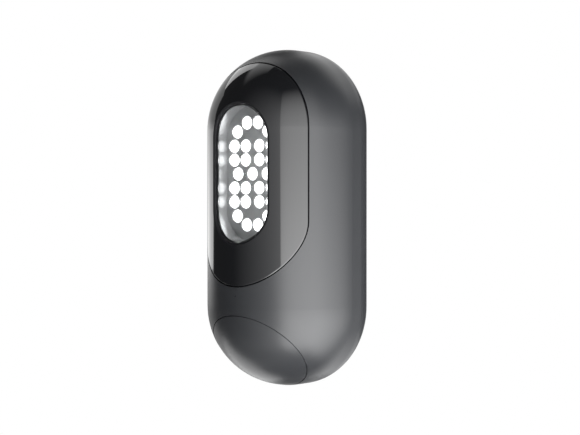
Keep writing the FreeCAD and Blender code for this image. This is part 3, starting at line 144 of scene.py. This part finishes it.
class Sheet:
    """The node tree of one material, light or world."""

    def __init__(self, tree: bpy.types.NodeTree) -> None:
        """Take a tree and empty it."""
        self.tree = tree
        tree.nodes.clear()

    def add(
        self,
        kind: str,
        settings: dict[str, object] | None = None,
        sockets: dict[str | int, object] | None = None,
        output: str | int = 0,
    ) -> Wire:
        """Add a node, set it up and feed its sockets.

        Args:
            kind: the node's type.
            settings: properties that are set first; stops are those of a colour ramp.
            sockets: values or wires for its inputs.
            output: the output that is wanted.

        Returns:
            That output as a wire.
        """
        node = self.tree.nodes.new(kind)
        for name, value in (settings or {}).items():
            if name == "stops":
                self.set_stops(node.color_ramp, value)
            else:
                setattr(node, name, value)
        for name, value in (sockets or {}).items():
            self.feed(node.inputs[name], value)
        return Wire(self, node.outputs[output])

    def feed(self, socket: bpy.types.NodeSocket, value: object) -> None:
        """Link a wire to a socket, or set the socket's own value."""
        if isinstance(value, Wire):
            self.tree.links.new(value.socket, socket)
        elif socket.type == "RGBA":
            socket.default_value = (*value, 1.0)
        else:
            socket.default_value = value

    @staticmethod
    def set_stops(ramp: bpy.types.ColorRamp, stops: list[tuple[float, Colour]]) -> None:
        """Give a ramp its stops, each a place from 0 to 1 and a colour."""
        while len(ramp.elements) < len(stops):
            ramp.elements.new(1.0)
        for element, (place, colour) in zip(ramp.elements, stops):
            element.position = place
            element.color = (*colour, 1.0)

    def end(self, kind: str, shader: Wire) -> None:
        """Send a shader to the tree's output node, of a given type."""
        node = self.tree.nodes.new(kind)
        self.feed(node.inputs["Surface"], shader)

    def noise(self, place: Wire, size: float, detail: float = 2.0) -> Wire:
        """Return a noise from 0 to 1.

        Args:
            place: the coordinates.
            size: about the size of its blots, in metres.
            detail: how many finer layers it has.

        Returns:
            The noise.
        """
        return self.add("ShaderNodeTexNoise", {}, {"Vector": place, "Scale": 1 / size, "Detail": detail})

    def blend(self, factor: Wire, first: "Wire | Colour", second: "Wire | Colour") -> Wire:
        """Return a colour between two, by a factor."""
        return self.add("ShaderNodeMix", {"data_type": "RGBA"}, {0: factor, 6: first, 7: second}, 2)

    def bump(self, height: Wire, depth: float) -> Wire:
        """Return a normal that follows a height from 0 to 1, as deep as given in metres."""
        return self.add("ShaderNodeBump", {}, {"Height": height, "Distance": depth, "Strength": 1.0})


def shade(colour: Colour, factor: float) -> Colour:
    """Return a colour made lighter or darker by a factor."""
    return tuple(min(1.0, part * factor) for part in colour)


@dataclass(frozen=True)
class Finish:
    """A plain surface: one colour in faint patches, over a fine grain.

    Attributes:
        colour: the surface's own colour.
        roughness: how matt it is.
        metallic: 1 for bare metal.
        ior: strength of its gloss.
        mottle: share by which the colour varies from patch to patch.
        patch: size of the patches.
        play: how much the roughness varies from patch to patch.
        grain: size of the grain.
        relief: depth of the grain.
        extras: constants for other sockets of the shader.
    """

    colour: Colour
    roughness: float
    metallic: float = 0.0
    ior: float = 1.5
    mottle: float = 0.05
    patch: float = 9 * MM
    play: float = 0.04
    grain: float = 0.3 * MM
    relief: float = 0.002 * MM
    extras: tuple[tuple[str, object], ...] = ()

    def material(self, name: str) -> bpy.types.Material:
        """Make the material.

        Args:
            name: the record's slot that it dresses.

        Returns:
            The finished material.
        """
        material = bpy.data.materials.new(name)
        material.use_nodes = True
        sheet = Sheet(material.node_tree)
        place = sheet.add("ShaderNodeTexCoord", output="Object")
        sheet.end("ShaderNodeOutputMaterial", self.surface(sheet, place))
        return material

    def surface(self, sheet: Sheet, place: Wire) -> Wire:
        """Return the shader of the surface.

        Args:
            sheet: the node tree to build in.
            place: the object's coordinates.

        Returns:
            The shader.
        """
        sockets = {"Metallic": self.metallic, "IOR": self.ior, **dict(self.extras), **self.layers(sheet, place)}
        return sheet.add("ShaderNodeBsdfPrincipled", {}, sockets)

    def layers(self, sheet: Sheet, place: Wire) -> dict[str, object]:
        """Return what varies over the surface.

        Args:
            sheet: the node tree to build in.
            place: the object's coordinates.

        Returns:
            Wires by the name of the shader's socket.
        """
        patches = sheet.noise(place, self.patch)
        low, high = shade(self.colour, 1 - self.mottle), shade(self.colour, 1 + self.mottle)
        return {
            "Base Color": sheet.blend(patches, low, high),
            "Roughness": self.roughness + (patches - 0.5) * (2 * self.play),
            "Normal": sheet.bump(sheet.noise(place, self.grain, 3.0), self.relief),
        }


@dataclass(frozen=True)
class RimmedFinish(Finish):
    """A gloss surface with a matt rim round a window with round ends.

    Attributes:
        height: the Z coordinate of the window's centre.
        straight: half the distance between the centres of its round ends.
        reach: distance from its middle line to the outer edge of the rim.
        blur: half the width over which the rim ends.
    """

    height: float = 22.2 * MM
    straight: float = 17.8 * MM
    reach: float = 18.0 * MM
    blur: float = 0.1 * MM

    def surface(self, sheet: Sheet, place: Wire) -> Wire:
        """Return the gloss shader, and a matt one near the window."""
        across = sheet.add("ShaderNodeSeparateXYZ", {}, {"Vector": place}, "X")
        rise = sheet.add("ShaderNodeSeparateXYZ", {}, {"Vector": place}, "Z") - self.height
        beyond = rise.step("MAXIMUM", rise.step("ABSOLUTE", rise, 0.0) - self.straight, 0.0)
        away = (across * across + beyond * beyond) ** 0.5
        outside = away.ramp(self.reach - self.blur, self.reach + self.blur)
        matt = {"Base Color": (0.006, 0.006, 0.007), "Roughness": 0.65, "Specular IOR Level": 0.15}
        rim = sheet.add("ShaderNodeBsdfPrincipled", {}, matt)
        return sheet.add("ShaderNodeMixShader", {}, {0: outside, 1: rim, 2: super().surface(sheet, place)})


@dataclass(frozen=True)
class LitFinish(Finish):
    """A lamp's silicone dome, white-hot on top and softer at its foot.

    Attributes:
        foot: the Y coordinate of the dome's foot.
        height: the height of the dome.
        strength: brightness of the light.
    """

    foot: float = 0.0
    height: float = 1.0
    strength: float = 1.8

    def layers(self, sheet: Sheet, place: Wire) -> dict[str, object]:
        """Return the plain layers with a glow that fades towards the foot."""
        along = sheet.add("ShaderNodeSeparateXYZ", {}, {"Vector": place}, "Y")
        rise = (self.foot - along).ramp(0.0, 0.8 * self.height)
        glow = sheet.blend(rise, (0.16, 0.16, 0.165), (1.0, 1.0, 1.0))
        return {**super().layers(sheet, place), "Emission Color": glow, "Emission Strength": self.strength}


@dataclass(frozen=True)
class BoardFinish(Finish):
    """A circuit board: solder mask over copper tracks.

    Attributes:
        track: colour of the mask over a track.
        pitch: distance between the tracks.
    """

    track: Colour = (0.05, 0.2, 0.08)
    pitch: float = 2.2 * MM

    def layers(self, sheet: Sheet, place: Wire) -> dict[str, object]:
        """Return the plain layers with tracks that stand out a little."""
        plain = super().layers(sheet, place)
        bricks = {"Vector": place, "Scale": 1.0, "Mortar Size": self.pitch * 0.12, "Brick Width": self.pitch * 4,
                  "Row Height": self.pitch, "Color1": (0.0, 0.0, 0.0), "Color2": (0.0, 0.0, 0.0), "Mortar": (1.0, 1.0, 1.0)}
        turned = sheet.add("ShaderNodeMapping", {}, {"Vector": place, "Rotation": (math.pi / 2, 0.0, 0.0)})
        tracks = sheet.add("ShaderNodeTexBrick", {"offset": 0.5}, {**bricks, "Vector": turned}, "Fac")
        plain["Base Color"] = sheet.blend(tracks, plain["Base Color"], self.track)
        plain["Normal"] = sheet.bump(tracks, 0.03 * MM)
        return plain


@dataclass(frozen=True)
class BrushedFinish(Finish):
    """Turned or drawn metal with fine lines along one way.

    Attributes:
        stretch: how much longer than wide the lines are, along each axis.
    """

    stretch: tuple[float, float, float] = (1.0, 0.06, 1.0)

    def layers(self, sheet: Sheet, place: Wire) -> dict[str, object]:
        """Return the plain layers with the grain drawn out into lines."""
        drawn = sheet.add("ShaderNodeMapping", {}, {"Vector": place, "Scale": self.stretch})
        plain = super().layers(sheet, place)
        lines = sheet.noise(drawn, self.grain, 4.0)
        plain["Roughness"] = self.roughness + (lines - 0.5) * (2 * self.play)
        plain["Normal"] = sheet.bump(lines, self.relief)
        return plain


GREY_SHELL = Finish((0.018, 0.019, 0.021), 0.35, mottle=0.05, play=0.015, grain=0.22 * MM, relief=0.002 * MM)
FINISHES = {
    "housing_grey": GREY_SHELL,
    "panel_black": RimmedFinish(
        (0.005, 0.0053, 0.0062), 0.04, ior=1.6, mottle=0.02, play=0.008, grain=6 * MM, relief=0.0006 * MM
    ),
    "window_clear": Finish(
        (0.96, 0.97, 0.97), 0.09, ior=1.49, mottle=0.005, play=0.005, grain=5 * MM, relief=0.0004 * MM,
        extras=(("Transmission Weight", 1.0),),
    ),
    "gasket_black": Finish((0.012, 0.012, 0.013), 0.62, mottle=0.1, grain=0.15 * MM, relief=0.01 * MM),
    "tray_white": Finish(
        (0.28, 0.284, 0.288), 0.2, metallic=0.35, mottle=0.02, play=0.02, grain=0.8 * MM, relief=0.001 * MM
    ),
    "lamp_board_white": Finish((0.7, 0.7, 0.69), 0.35, mottle=0.03, grain=0.4 * MM, relief=0.003 * MM),
    "chip_ceramic": Finish((0.78, 0.77, 0.72), 0.5, mottle=0.04, patch=1.5 * MM),
    "lamp_light": LitFinish((0.9, 0.9, 0.88), 0.3, foot=-49.8 * MM, height=1.9 * MM, strength=7.0),
    "pad_grey": Finish((0.33, 0.35, 0.38), 0.8, mottle=0.12, patch=1.2 * MM, grain=0.25 * MM, relief=0.02 * MM),
    "cast_aluminium": Finish(
        (0.58, 0.59, 0.6), 0.48, metallic=1.0, mottle=0.08, patch=3 * MM, play=0.08, grain=0.35 * MM, relief=0.015 * MM
    ),
    "screw_steel": BrushedFinish((0.55, 0.55, 0.56), 0.3, metallic=1.0, play=0.08, grain=0.12 * MM),
    "screw_dark": BrushedFinish((0.045, 0.045, 0.05), 0.34, metallic=0.6, play=0.06, grain=0.12 * MM),
    "sensor_dark": Finish((0.02, 0.021, 0.023), 0.31, mottle=0.05, play=0.015, grain=0.3 * MM, relief=0.002 * MM),
    "carrier_black": Finish((0.02, 0.02, 0.022), 0.5, mottle=0.06, grain=0.25 * MM, relief=0.008 * MM),
    "board_green": BoardFinish((0.012, 0.085, 0.035), 0.3, mottle=0.08, patch=4 * MM),
    "can_steel": BrushedFinish((0.62, 0.61, 0.58), 0.26, metallic=1.0, play=0.06, grain=0.1 * MM),
    "inlet_steel": BrushedFinish((0.6, 0.6, 0.61), 0.22, metallic=1.0, play=0.05, grain=0.1 * MM),
    "pipe_clear": Finish((0.93, 0.94, 0.95), 0.06, ior=1.49, mottle=0.01, extras=(("Transmission Weight", 1.0),)),
    "cover_grey": Finish((0.018, 0.019, 0.021), 0.4, mottle=0.04, play=0.02, grain=0.28 * MM, relief=0.004 * MM),
    "membrane_white": Finish((0.78, 0.78, 0.76), 0.9, mottle=0.06, patch=0.5 * MM, grain=0.08 * MM, relief=0.02 * MM),
    "insert_brass": BrushedFinish((0.72, 0.5, 0.2), 0.28, metallic=1.0, play=0.08, grain=0.12 * MM),
    "chip_black": Finish((0.022, 0.022, 0.024), 0.55, mottle=0.15, patch=2 * MM, grain=0.12 * MM, relief=0.006 * MM),
    "antenna_amber": Finish((0.5, 0.24, 0.05), 0.35, mottle=0.1, patch=2 * MM),
    "socket_white": Finish((0.74, 0.72, 0.66), 0.42, mottle=0.04),
    "capacitor_sleeve": Finish((0.03, 0.04, 0.09), 0.3, mottle=0.06, patch=3 * MM),
    "button_dark": Finish((0.03, 0.031, 0.034), 0.42, mottle=0.04, grain=0.2 * MM, relief=0.006 * MM),
    "wire_black": Finish((0.018, 0.018, 0.02), 0.44, mottle=0.08, patch=3 * MM, grain=0.4 * MM, relief=0.01 * MM),
}


class Workshop:
    """Hands out materials and puts finished pieces into the scene."""

    def __init__(self, packed: dict[str, object]) -> None:
        """Keep what the frame says about nodes and slots."""
        self.nodes = packed["nodes"]
        self.slots = {row["node"]: row["material_slot"] for row in packed["record"]["subparts"]}
        self.materials: dict[str, bpy.types.Material] = {}

    def material(self, slot: str) -> bpy.types.Material:
        """Return a slot's material, made on its first use."""
        if slot not in self.materials:
            self.materials[slot] = FINISHES[slot].material(slot)
        return self.materials[slot]

    def dress(self, *names: str) -> None:
        """Give CAD nodes the finish of their slot."""
        for name in names:
            mesh = self.nodes[name].data
            mesh.materials.clear()
            mesh.materials.append(self.material(self.slots[name]))
            LOG.info("dressed %s in %s", name, self.slots[name])

    def place(
        self, name: str, work: bmesh.types.BMesh, slot: str, body: Body, replaced: tuple[str, ...] = ()
    ) -> bpy.types.Object:
        """Turn a finished bmesh into a piece of the scene.

        Args:
            name: the piece's name.
            work: its mesh, which is used up.
            slot: the record's slot of its finish.
            body: the body that it moves with.
            replaced: CAD nodes that it stands for.

        Returns:
            The new object.
        """
        mesh = bpy.data.meshes.new(name)
        bmesh.ops.recalc_face_normals(work, faces=work.faces)
        work.to_mesh(mesh)
        work.free()
        mesh.shade_smooth()
        mesh.set_sharp_from_angle(angle=math.radians(32))
        mesh.materials.append(self.material(slot))
        piece = bpy.data.objects.new(name, mesh)
        bpy.context.scene.collection.objects.link(piece)
        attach(piece, body.value)
        if replaced:
            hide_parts(*replaced)
        LOG.info("made %s with %d faces", name, len(mesh.polygons))
        return piece


@dataclass(frozen=True)
class Softbox:
    """A flat studio light, placed by what it covers as the lamp sees it.

    Angles are in degrees. An azimuth of 0 is the front of the lamp, and 90 its right side.

    Attributes:
        name: the light's name.
        left: azimuth of its left edge.
        right: azimuth of its right edge.
        bottom: elevation of its lower edge.
        top: elevation of its upper edge.
        radiance: brightness of its face.
        rise: how steeply the light comes up from its left edge, 0 for an even face.
        fall: how steeply it goes down towards its right edge, 0 for an even face.
        fade_up: shares of its height over which it comes up from below.
        fade_down: shares of its height over which it goes down towards the top.
        distance: how far it stands from the lamp.
    """

    name: str
    left: float
    right: float
    bottom: float
    top: float
    radiance: float
    rise: float = 0.0
    fall: float = 0.0
    fade_up: tuple[float, float] = (-1.0, 0.0)
    fade_down: tuple[float, float] = (1.0, 2.0)
    distance: float = 2.5

    def build(self, target: Vector) -> None:
        """Stand the light up, facing the lamp.

        Args:
            target: the point that it faces.
        """
        half = math.radians(self.right - self.left) / 2
        middle = math.radians(self.right + self.left) / 2
        low = self.distance * math.tan(math.radians(self.bottom))
        high = self.distance * math.tan(math.radians(self.top))
        light = bpy.data.lights.new(self.name, "AREA")
        light.shape = "RECTANGLE"
        light.size = 2 * self.distance * math.tan(half)
        light.size_y = high - low
        light.energy = self.radiance * math.pi * light.size * light.size_y
        light.use_nodes = True
        sheet = Sheet(light.node_tree)
        on_face = sheet.add("ShaderNodeNewGeometry", output="Parametric")
        across = sheet.add("ShaderNodeSeparateXYZ", {}, {"Vector": on_face}, "X")
        up = sheet.add("ShaderNodeSeparateXYZ", {}, {"Vector": on_face}, "Y")
        sideways = across ** self.rise * (1 - across) ** self.fall
        strength = sideways * up.ramp(*self.fade_up) * (1 - up.ramp(*self.fade_down))
        sheet.end("ShaderNodeOutputLight", sheet.add("ShaderNodeEmission", {}, {"Strength": strength}))
        lamp = bpy.data.objects.new(self.name, light)
        lamp.visible_camera = False
        away = Vector((math.sin(middle), -math.cos(middle), 0.0))
        lamp.rotation_euler = away.to_track_quat("Z", "Y").to_euler()
        lamp.location = target + away * self.distance + Vector((0.0, 0.0, (low + high) / 2))
        bpy.context.scene.collection.objects.link(lamp)
        LOG.info("lit %s", self.name)


@dataclass
class Studio:
    """The camera, lights, floor and backdrop.

    Attributes:
        target: the point that the camera looks at.
        azimuth: the camera's azimuth in degrees.
        elevation: the camera's height over the horizon in degrees.
        distance: its distance from the target.
        lens: its focal length in millimetres.
        sensor: width of its sensor in millimetres.
        shift: share of the picture's width by which the view is shifted, across and up.
        floor_height: height of the floor.
        floor_side: side of the floor.
        glow: light that comes from everywhere.
    """

    target: Vector = Vector((0.0, -22.5 * MM, 0.0))
    azimuth: float = 38.96
    elevation: float = 0.47
    distance: float = 0.784
    lens: float = 94.0
    sensor: float = 36.0
    shift: tuple[float, float] = (0.004, 0.0001)
    floor_height: float = -0.3
    floor_side: float = 6.0
    glow: float = 0.06
    softboxes: tuple[Softbox, ...] = (
        Softbox("key_box", 28.6, 84.0, -62.0, 60.0, 3.6, rise=0.1, fade_down=(0.5, 1.0), distance=0.65),
        Softbox("key_foot", 28.6, 84.0, -62.0, 14.0, 4.1, rise=0.1, fade_down=(0.74, 1.0), distance=0.6),
        Softbox("side_box", 84.0, 140.0, -62.0, 40.0, 3.8, fall=0.7, fade_down=(0.5, 1.0), distance=0.65),
        Softbox("side_foot", 84.0, 140.0, -62.0, 14.0, 4.2, fall=0.7, fade_down=(0.74, 1.0), distance=0.6),
        Softbox("front_strip", -45.0, 28.4, -62.0, 66.0, 1.6, rise=1.6, fade_down=(0.35, 0.9)),
        Softbox("left_back_box", -165.0, -91.0, -30.0, 30.0, 0.55),
        Softbox("limb_strip", -122.0, -93.0, -3.1, 9.0, 1.55, fade_down=(0.1, 1.0), distance=2.4),
        Softbox("shoulder_box", -121.0, -99.0, 26.5, 54.0, 1.7, fade_down=(0.68, 1.0)),
        Softbox("top_left_box", -160.0, -118.0, 54.0, 76.0, 0.35),
        Softbox("arch_box", -126.0, -60.0, 47.0, 73.0, 1.6, fall=1.0, fade_up=(0.0, 0.12)),
        Softbox("low_front_box", -60.0, 40.0, -68.0, -44.0, 0.35),
        Softbox("under_box", -80.0, 44.0, -84.5, -70.0, 0.5, distance=0.4),
        Softbox("low_left_box", -135.0, -84.0, -58.0, -26.0, 1.75),
        Softbox("top_back_box", 152.0, 214.0, 22.0, 54.0, 1.2),
        Softbox("low_back_box", 156.0, 205.0, -50.0, -22.0, 1.5),
    )

    def build(self) -> None:
        """Put up everything round the lamp."""
        self.build_camera()
        self.build_floor()
        self.build_backdrop()
        for softbox in self.softboxes:
            softbox.build(self.target)

    def build_camera(self) -> None:
        """Stand the camera where the photograph was taken from."""
        turn, rise = math.radians(self.azimuth), math.radians(self.elevation)
        back = Vector((math.sin(turn) * math.cos(rise), -math.cos(turn) * math.cos(rise), math.sin(rise)))
        view = bpy.data.cameras.new("camera")
        view.lens = self.lens
        view.sensor_width = self.sensor
        view.shift_x, view.shift_y = self.shift
        view.clip_start = 0.01
        camera = bpy.data.objects.new("camera", view)
        camera.location = self.target + back * self.distance
        camera.rotation_euler = (-back).to_track_quat("-Z", "Y").to_euler()
        bpy.context.scene.collection.objects.link(camera)
        bpy.context.scene.camera = camera

    def build_floor(self) -> None:
        """Lay a plain pale floor that casts no light on the lamp."""
        material = bpy.data.materials.new("pale_floor")
        material.use_nodes = True
        sheet = Sheet(material.node_tree)
        glow = sheet.add("ShaderNodeEmission", {}, {"Color": (1.0, 1.0, 1.0), "Strength": 1.0})
        sheet.end("ShaderNodeOutputMaterial", glow)
        work = bmesh.new()
        bmesh.ops.create_grid(work, x_segments=1, y_segments=1, size=self.floor_side / 2)
        bmesh.ops.translate(work, verts=work.verts, vec=(0.0, 0.0, self.floor_height))
        mesh = bpy.data.meshes.new("floor")
        work.to_mesh(mesh)
        work.free()
        mesh.materials.append(material)
        floor = bpy.data.objects.new("floor", mesh)
        floor.visible_diffuse = False
        floor.visible_glossy = False
        floor.visible_transmission = False
        floor.visible_shadow = False
        bpy.context.scene.collection.objects.link(floor)

    def build_backdrop(self) -> None:
        """Make the world white to the camera and a faint glow to the lamp."""
        world = bpy.data.worlds.new("backdrop")
        world.use_nodes = True
        sheet = Sheet(world.node_tree)
        seen = sheet.add("ShaderNodeLightPath", output="Is Camera Ray")
        strength = self.glow + seen * (1.0 - self.glow)
        sheet.end("ShaderNodeOutputWorld", sheet.add("ShaderNodeBackground", {}, {"Color": (1.0,) * 3, "Strength": strength}))
        bpy.context.scene.world = world
        bpy.context.scene.view_settings.view_transform = "Standard"


def block(work: bmesh.types.BMesh, low: Vector, high: Vector, edge: float) -> list[bmesh.types.BMVert]:
    """Add a box with softened edges to a mesh.

    Args:
        work: the mesh.
        low: the box's lowest corner.
        high: its highest corner.
        edge: width of the bevel on its edges.

    Returns:
        The box's vertices.
    """
    middle, size = (low + high) / 2, high - low
    matrix = Matrix.Translation(middle) @ Matrix.Diagonal((*size, 1.0))
    corners = bmesh.ops.create_cube(work, size=1.0, matrix=matrix)["verts"]
    edges = list({line for corner in corners for line in corner.link_edges})
    made = bmesh.ops.bevel(work, geom=edges, offset=edge, affect="EDGES", segments=1, profile=0.5, material=-1)
    return made["verts"]


@dataclass
class Shell:
    """The moulded housing, its rear cover and the fixings on the back.

    Attributes:
        shop: where materials and pieces come from.
        bore: radius of the mount's thread at its root.
        pitch: pitch of that thread.
        depth: depth of that thread.
        steps: facets in one turn of it.
        lead: plain length at each end of the bore.
    """

    shop: Workshop
    bore: float = 3.175 * MM
    pitch: float = 1.27 * MM
    depth: float = 0.6 * MM
    steps: int = 36
    lead: float = 0.35 * MM

    def build(self) -> None:
        """Dress the pieces of the shell and run the thread down the mount."""
        self.shop.dress(
            "housing", "rear_cover", "rear_cover_gasket", "rear_cover_screws", "vent_membrane", "mount_insert"
        )
        self.run_thread()

    def run_thread(self) -> None:
        """Wind the thread's ridge down the bore of the insert."""
        low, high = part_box("mount_insert")
        start = high.y - self.lead
        turns = int((high.y - low.y - 2 * self.lead) / self.pitch - 1)
        root = self.bore + 0.05 * MM
        profile = ((root, start), (self.bore - self.depth, start - self.pitch * 0.45), (root, start - self.pitch * 0.9))
        work = bmesh.new()
        corners = [work.verts.new((across, along, 0.0)) for across, along in profile]
        lines = [work.edges.new((corners[index - 1], corners[index])) for index in range(3)]
        wound = bmesh.ops.spin(
            work, geom=corners + lines, cent=(0.0, 0.0, 0.0), axis=(0.0, 1.0, 0.0),
            dvec=(0.0, -self.pitch / self.steps, 0.0), angle=2 * math.pi * turns, steps=turns * self.steps,
        )
        for end in (corners, [item for item in wound["geom_last"] if isinstance(item, bmesh.types.BMVert)]):
            bmesh.ops.contextual_create(work, geom=end)
        self.shop.place("mount_thread", work, "insert_brass", Body.HEAD)


@dataclass
class FrontPanel:
    """The glossy panel and the tape that holds it."""

    shop: Workshop

    def build(self) -> None:
        """Dress the panel and its gasket."""
        self.shop.dress("front_panel", "panel_gasket")


@dataclass
class LampWindow:
    """The clear lens, the tray with its lamps, and the heat sink behind them."""

    shop: Workshop

    def build(self) -> None:
        """Dress the pieces from the lens back to the heat sink."""
        self.shop.dress(
            "window_lens", "window_gasket", "reflector_tray", "tray_screws", "led_board", "led_packages", "led_domes",
            "thermal_pad", "heatsink", "heatsink_screws", "led_harness",
        )


@dataclass
class SensorDome:
    """The motion sensor under its dome, and the status light above it."""

    shop: Workshop

    def build(self) -> None:
        """Dress the dome and what is behind it."""
        self.shop.dress(
            "pir_lens", "pir_gasket", "pir_carrier", "pir_carrier_screws", "pir_board", "pir_board_screws", "pir_sensor",
            "status_light_pipe", "status_led", "pir_harness",
        )


@dataclass
class ControlBoard:
    """The main board with its parts, and the inlet.

    Attributes:
        shop: where materials and pieces come from.
        contact_count: contacts on each face of the inlet's tongue.
        contact_pitch: distance between two contacts.
        contact_size: their width, length and height.
        pin_count: pins on each side of the processor.
        pin_pitch: distance between two pins.
        pin_width: width of a pin.
        pin_reach: how far a pin stands out.
        pin_thickness: thickness of a pin.
        small_part: length, width and height of the small parts on the board.
        small_places: rows of small parts: across, rise of the first, pitch and count.
        edge: bevel on all of these.
    """

    shop: Workshop
    contact_count: int = 12
    contact_pitch: float = 0.5 * MM
    contact_size: tuple[float, float, float] = (0.26 * MM, 4.2 * MM, 0.04 * MM)
    pin_count: int = 14
    pin_pitch: float = 0.75 * MM
    pin_width: float = 0.32 * MM
    pin_reach: float = 1.1 * MM
    pin_thickness: float = 0.16 * MM
    small_part: tuple[float, float, float] = (1.6 * MM, 0.85 * MM, 0.6 * MM)
    small_places: tuple[tuple[float, float, float, int], ...] = (
        (-9.8 * MM, -1.0 * MM, 1.7 * MM, 9),
        (9.8 * MM, -1.0 * MM, 1.7 * MM, 9),
        (-12.4 * MM, 18.0 * MM, 2.1 * MM, 8),
        (12.4 * MM, 18.0 * MM, 2.1 * MM, 8),
        (0.6 * MM, -21.0 * MM, 1.8 * MM, 6),
        (13.2 * MM, -24.0 * MM, 1.9 * MM, 9),
    )
    edge: float = 0.04 * MM

    def build(self) -> None:
        """Dress the board, its parts and the inlet, and fit the small parts."""
        self.shop.dress(
            "main_board", "main_board_screws", "processor", "radio_shield", "radio_antenna", "led_socket", "pir_socket",
            "driver_inductor", "driver_capacitor_1", "driver_capacitor_2", "power_inlet", "inlet_tongue", "inlet_seal",
        )
        self.fit_contacts()
        self.fit_pins()
        self.fit_small_parts()

    def fit_contacts(self) -> None:
        """Lay the gold contacts on both faces of the inlet's tongue."""
        low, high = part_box("inlet_tongue")
        width, length, height = self.contact_size
        work = bmesh.new()
        for face, side in ((high.z, 1.0), (low.z, -1.0)):
            for index in range(self.contact_count):
                across = (index - (self.contact_count - 1) / 2) * self.contact_pitch
                levels = sorted((face, face + side * height))
                corner = Vector((across - width / 2, high.y - 0.6 * MM - length, levels[0]))
                block(work, corner, Vector((across + width / 2, high.y - 0.6 * MM, levels[1])), self.edge / 4)
        self.shop.place("inlet_contacts", work, "insert_brass", Body.HEAD)

    def fit_pins(self) -> None:
        """Stand the processor's pins along its four sides."""
        low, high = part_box("processor")
        board = high.y
        half, middle = (high.x - low.x) / 2, (low + high) / 2
        drop = (board - low.y) * 0.5
        work = bmesh.new()
        for side in range(4):
            turn = Matrix.Translation(middle) @ Matrix.Rotation(side * math.pi / 2, 4, "Y") @ Matrix.Translation(-middle)
            made = []
            for index in range(self.pin_count):
                across = middle.z + (index - (self.pin_count - 1) / 2) * self.pin_pitch
                near, far = middle.x + half, middle.x + half + self.pin_reach
                bend = near + self.pin_reach * 0.45
                for start, end, deep, shallow in (
                    (near, bend, board - drop, board - drop - self.pin_thickness),
                    (bend - self.pin_thickness, bend, board, board - drop - self.pin_thickness),
                    (bend - self.pin_thickness, far, board, board - self.pin_thickness),
                ):
                    first = Vector((start, shallow, across - self.pin_width / 2))
                    made += block(work, first, Vector((end, deep, across + self.pin_width / 2)), self.edge / 2)
            bmesh.ops.transform(work, matrix=turn, verts=made)
        self.shop.place("processor_pins", work, "can_steel", Body.HEAD)

    def fit_small_parts(self) -> None:
        """Set rows of small ceramic parts on the board, each with two metal ends."""
        length, width, height = self.small_part
        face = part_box("main_board")[0].y
        bodies, ends = bmesh.new(), bmesh.new()
        for across, rise, pitch, count in self.small_places:
            for index in range(count):
                middle = Vector((across, face, rise + index * pitch))
                reach = Vector((length / 2, 0.0, width / 2))
                cap = length * 0.2
                inner = Vector((reach.x - cap, 0.0, reach.z * 0.96))
                block(bodies, middle - inner - Vector((0.0, height * 0.94, 0.0)), middle + inner, self.edge)
                for side in (-1.0, 1.0):
                    spot = middle + Vector((side * (reach.x - cap / 2), 0.0, 0.0))
                    half = Vector((cap / 2, 0.0, reach.z))
                    block(ends, spot - half - Vector((0.0, height, 0.0)), spot + half, self.edge)
        self.shop.place("small_parts", bodies, "chip_ceramic", Body.HEAD)
        self.shop.place("small_part_ends", ends, "can_steel", Body.HEAD)


@dataclass
class ResetButton:
    """The button on the back and the switch under it."""

    shop: Workshop

    def build(self) -> None:
        """Dress the button and its switch."""
        self.shop.dress("reset_button", "switch_plunger", "reset_switch")


def main() -> None:
    """Build the studio and dress the lamp, one sub-assembly after another."""
    logging.basicConfig(level=logging.INFO, format="%(name)s: %(message)s")
    Studio().build()
    shop = Workshop(frame)
    for part in (Shell, FrontPanel, LampWindow, SensorDome, ControlBoard, ResetButton):
        part(shop).build()


if __name__ == "__main__":
    main()
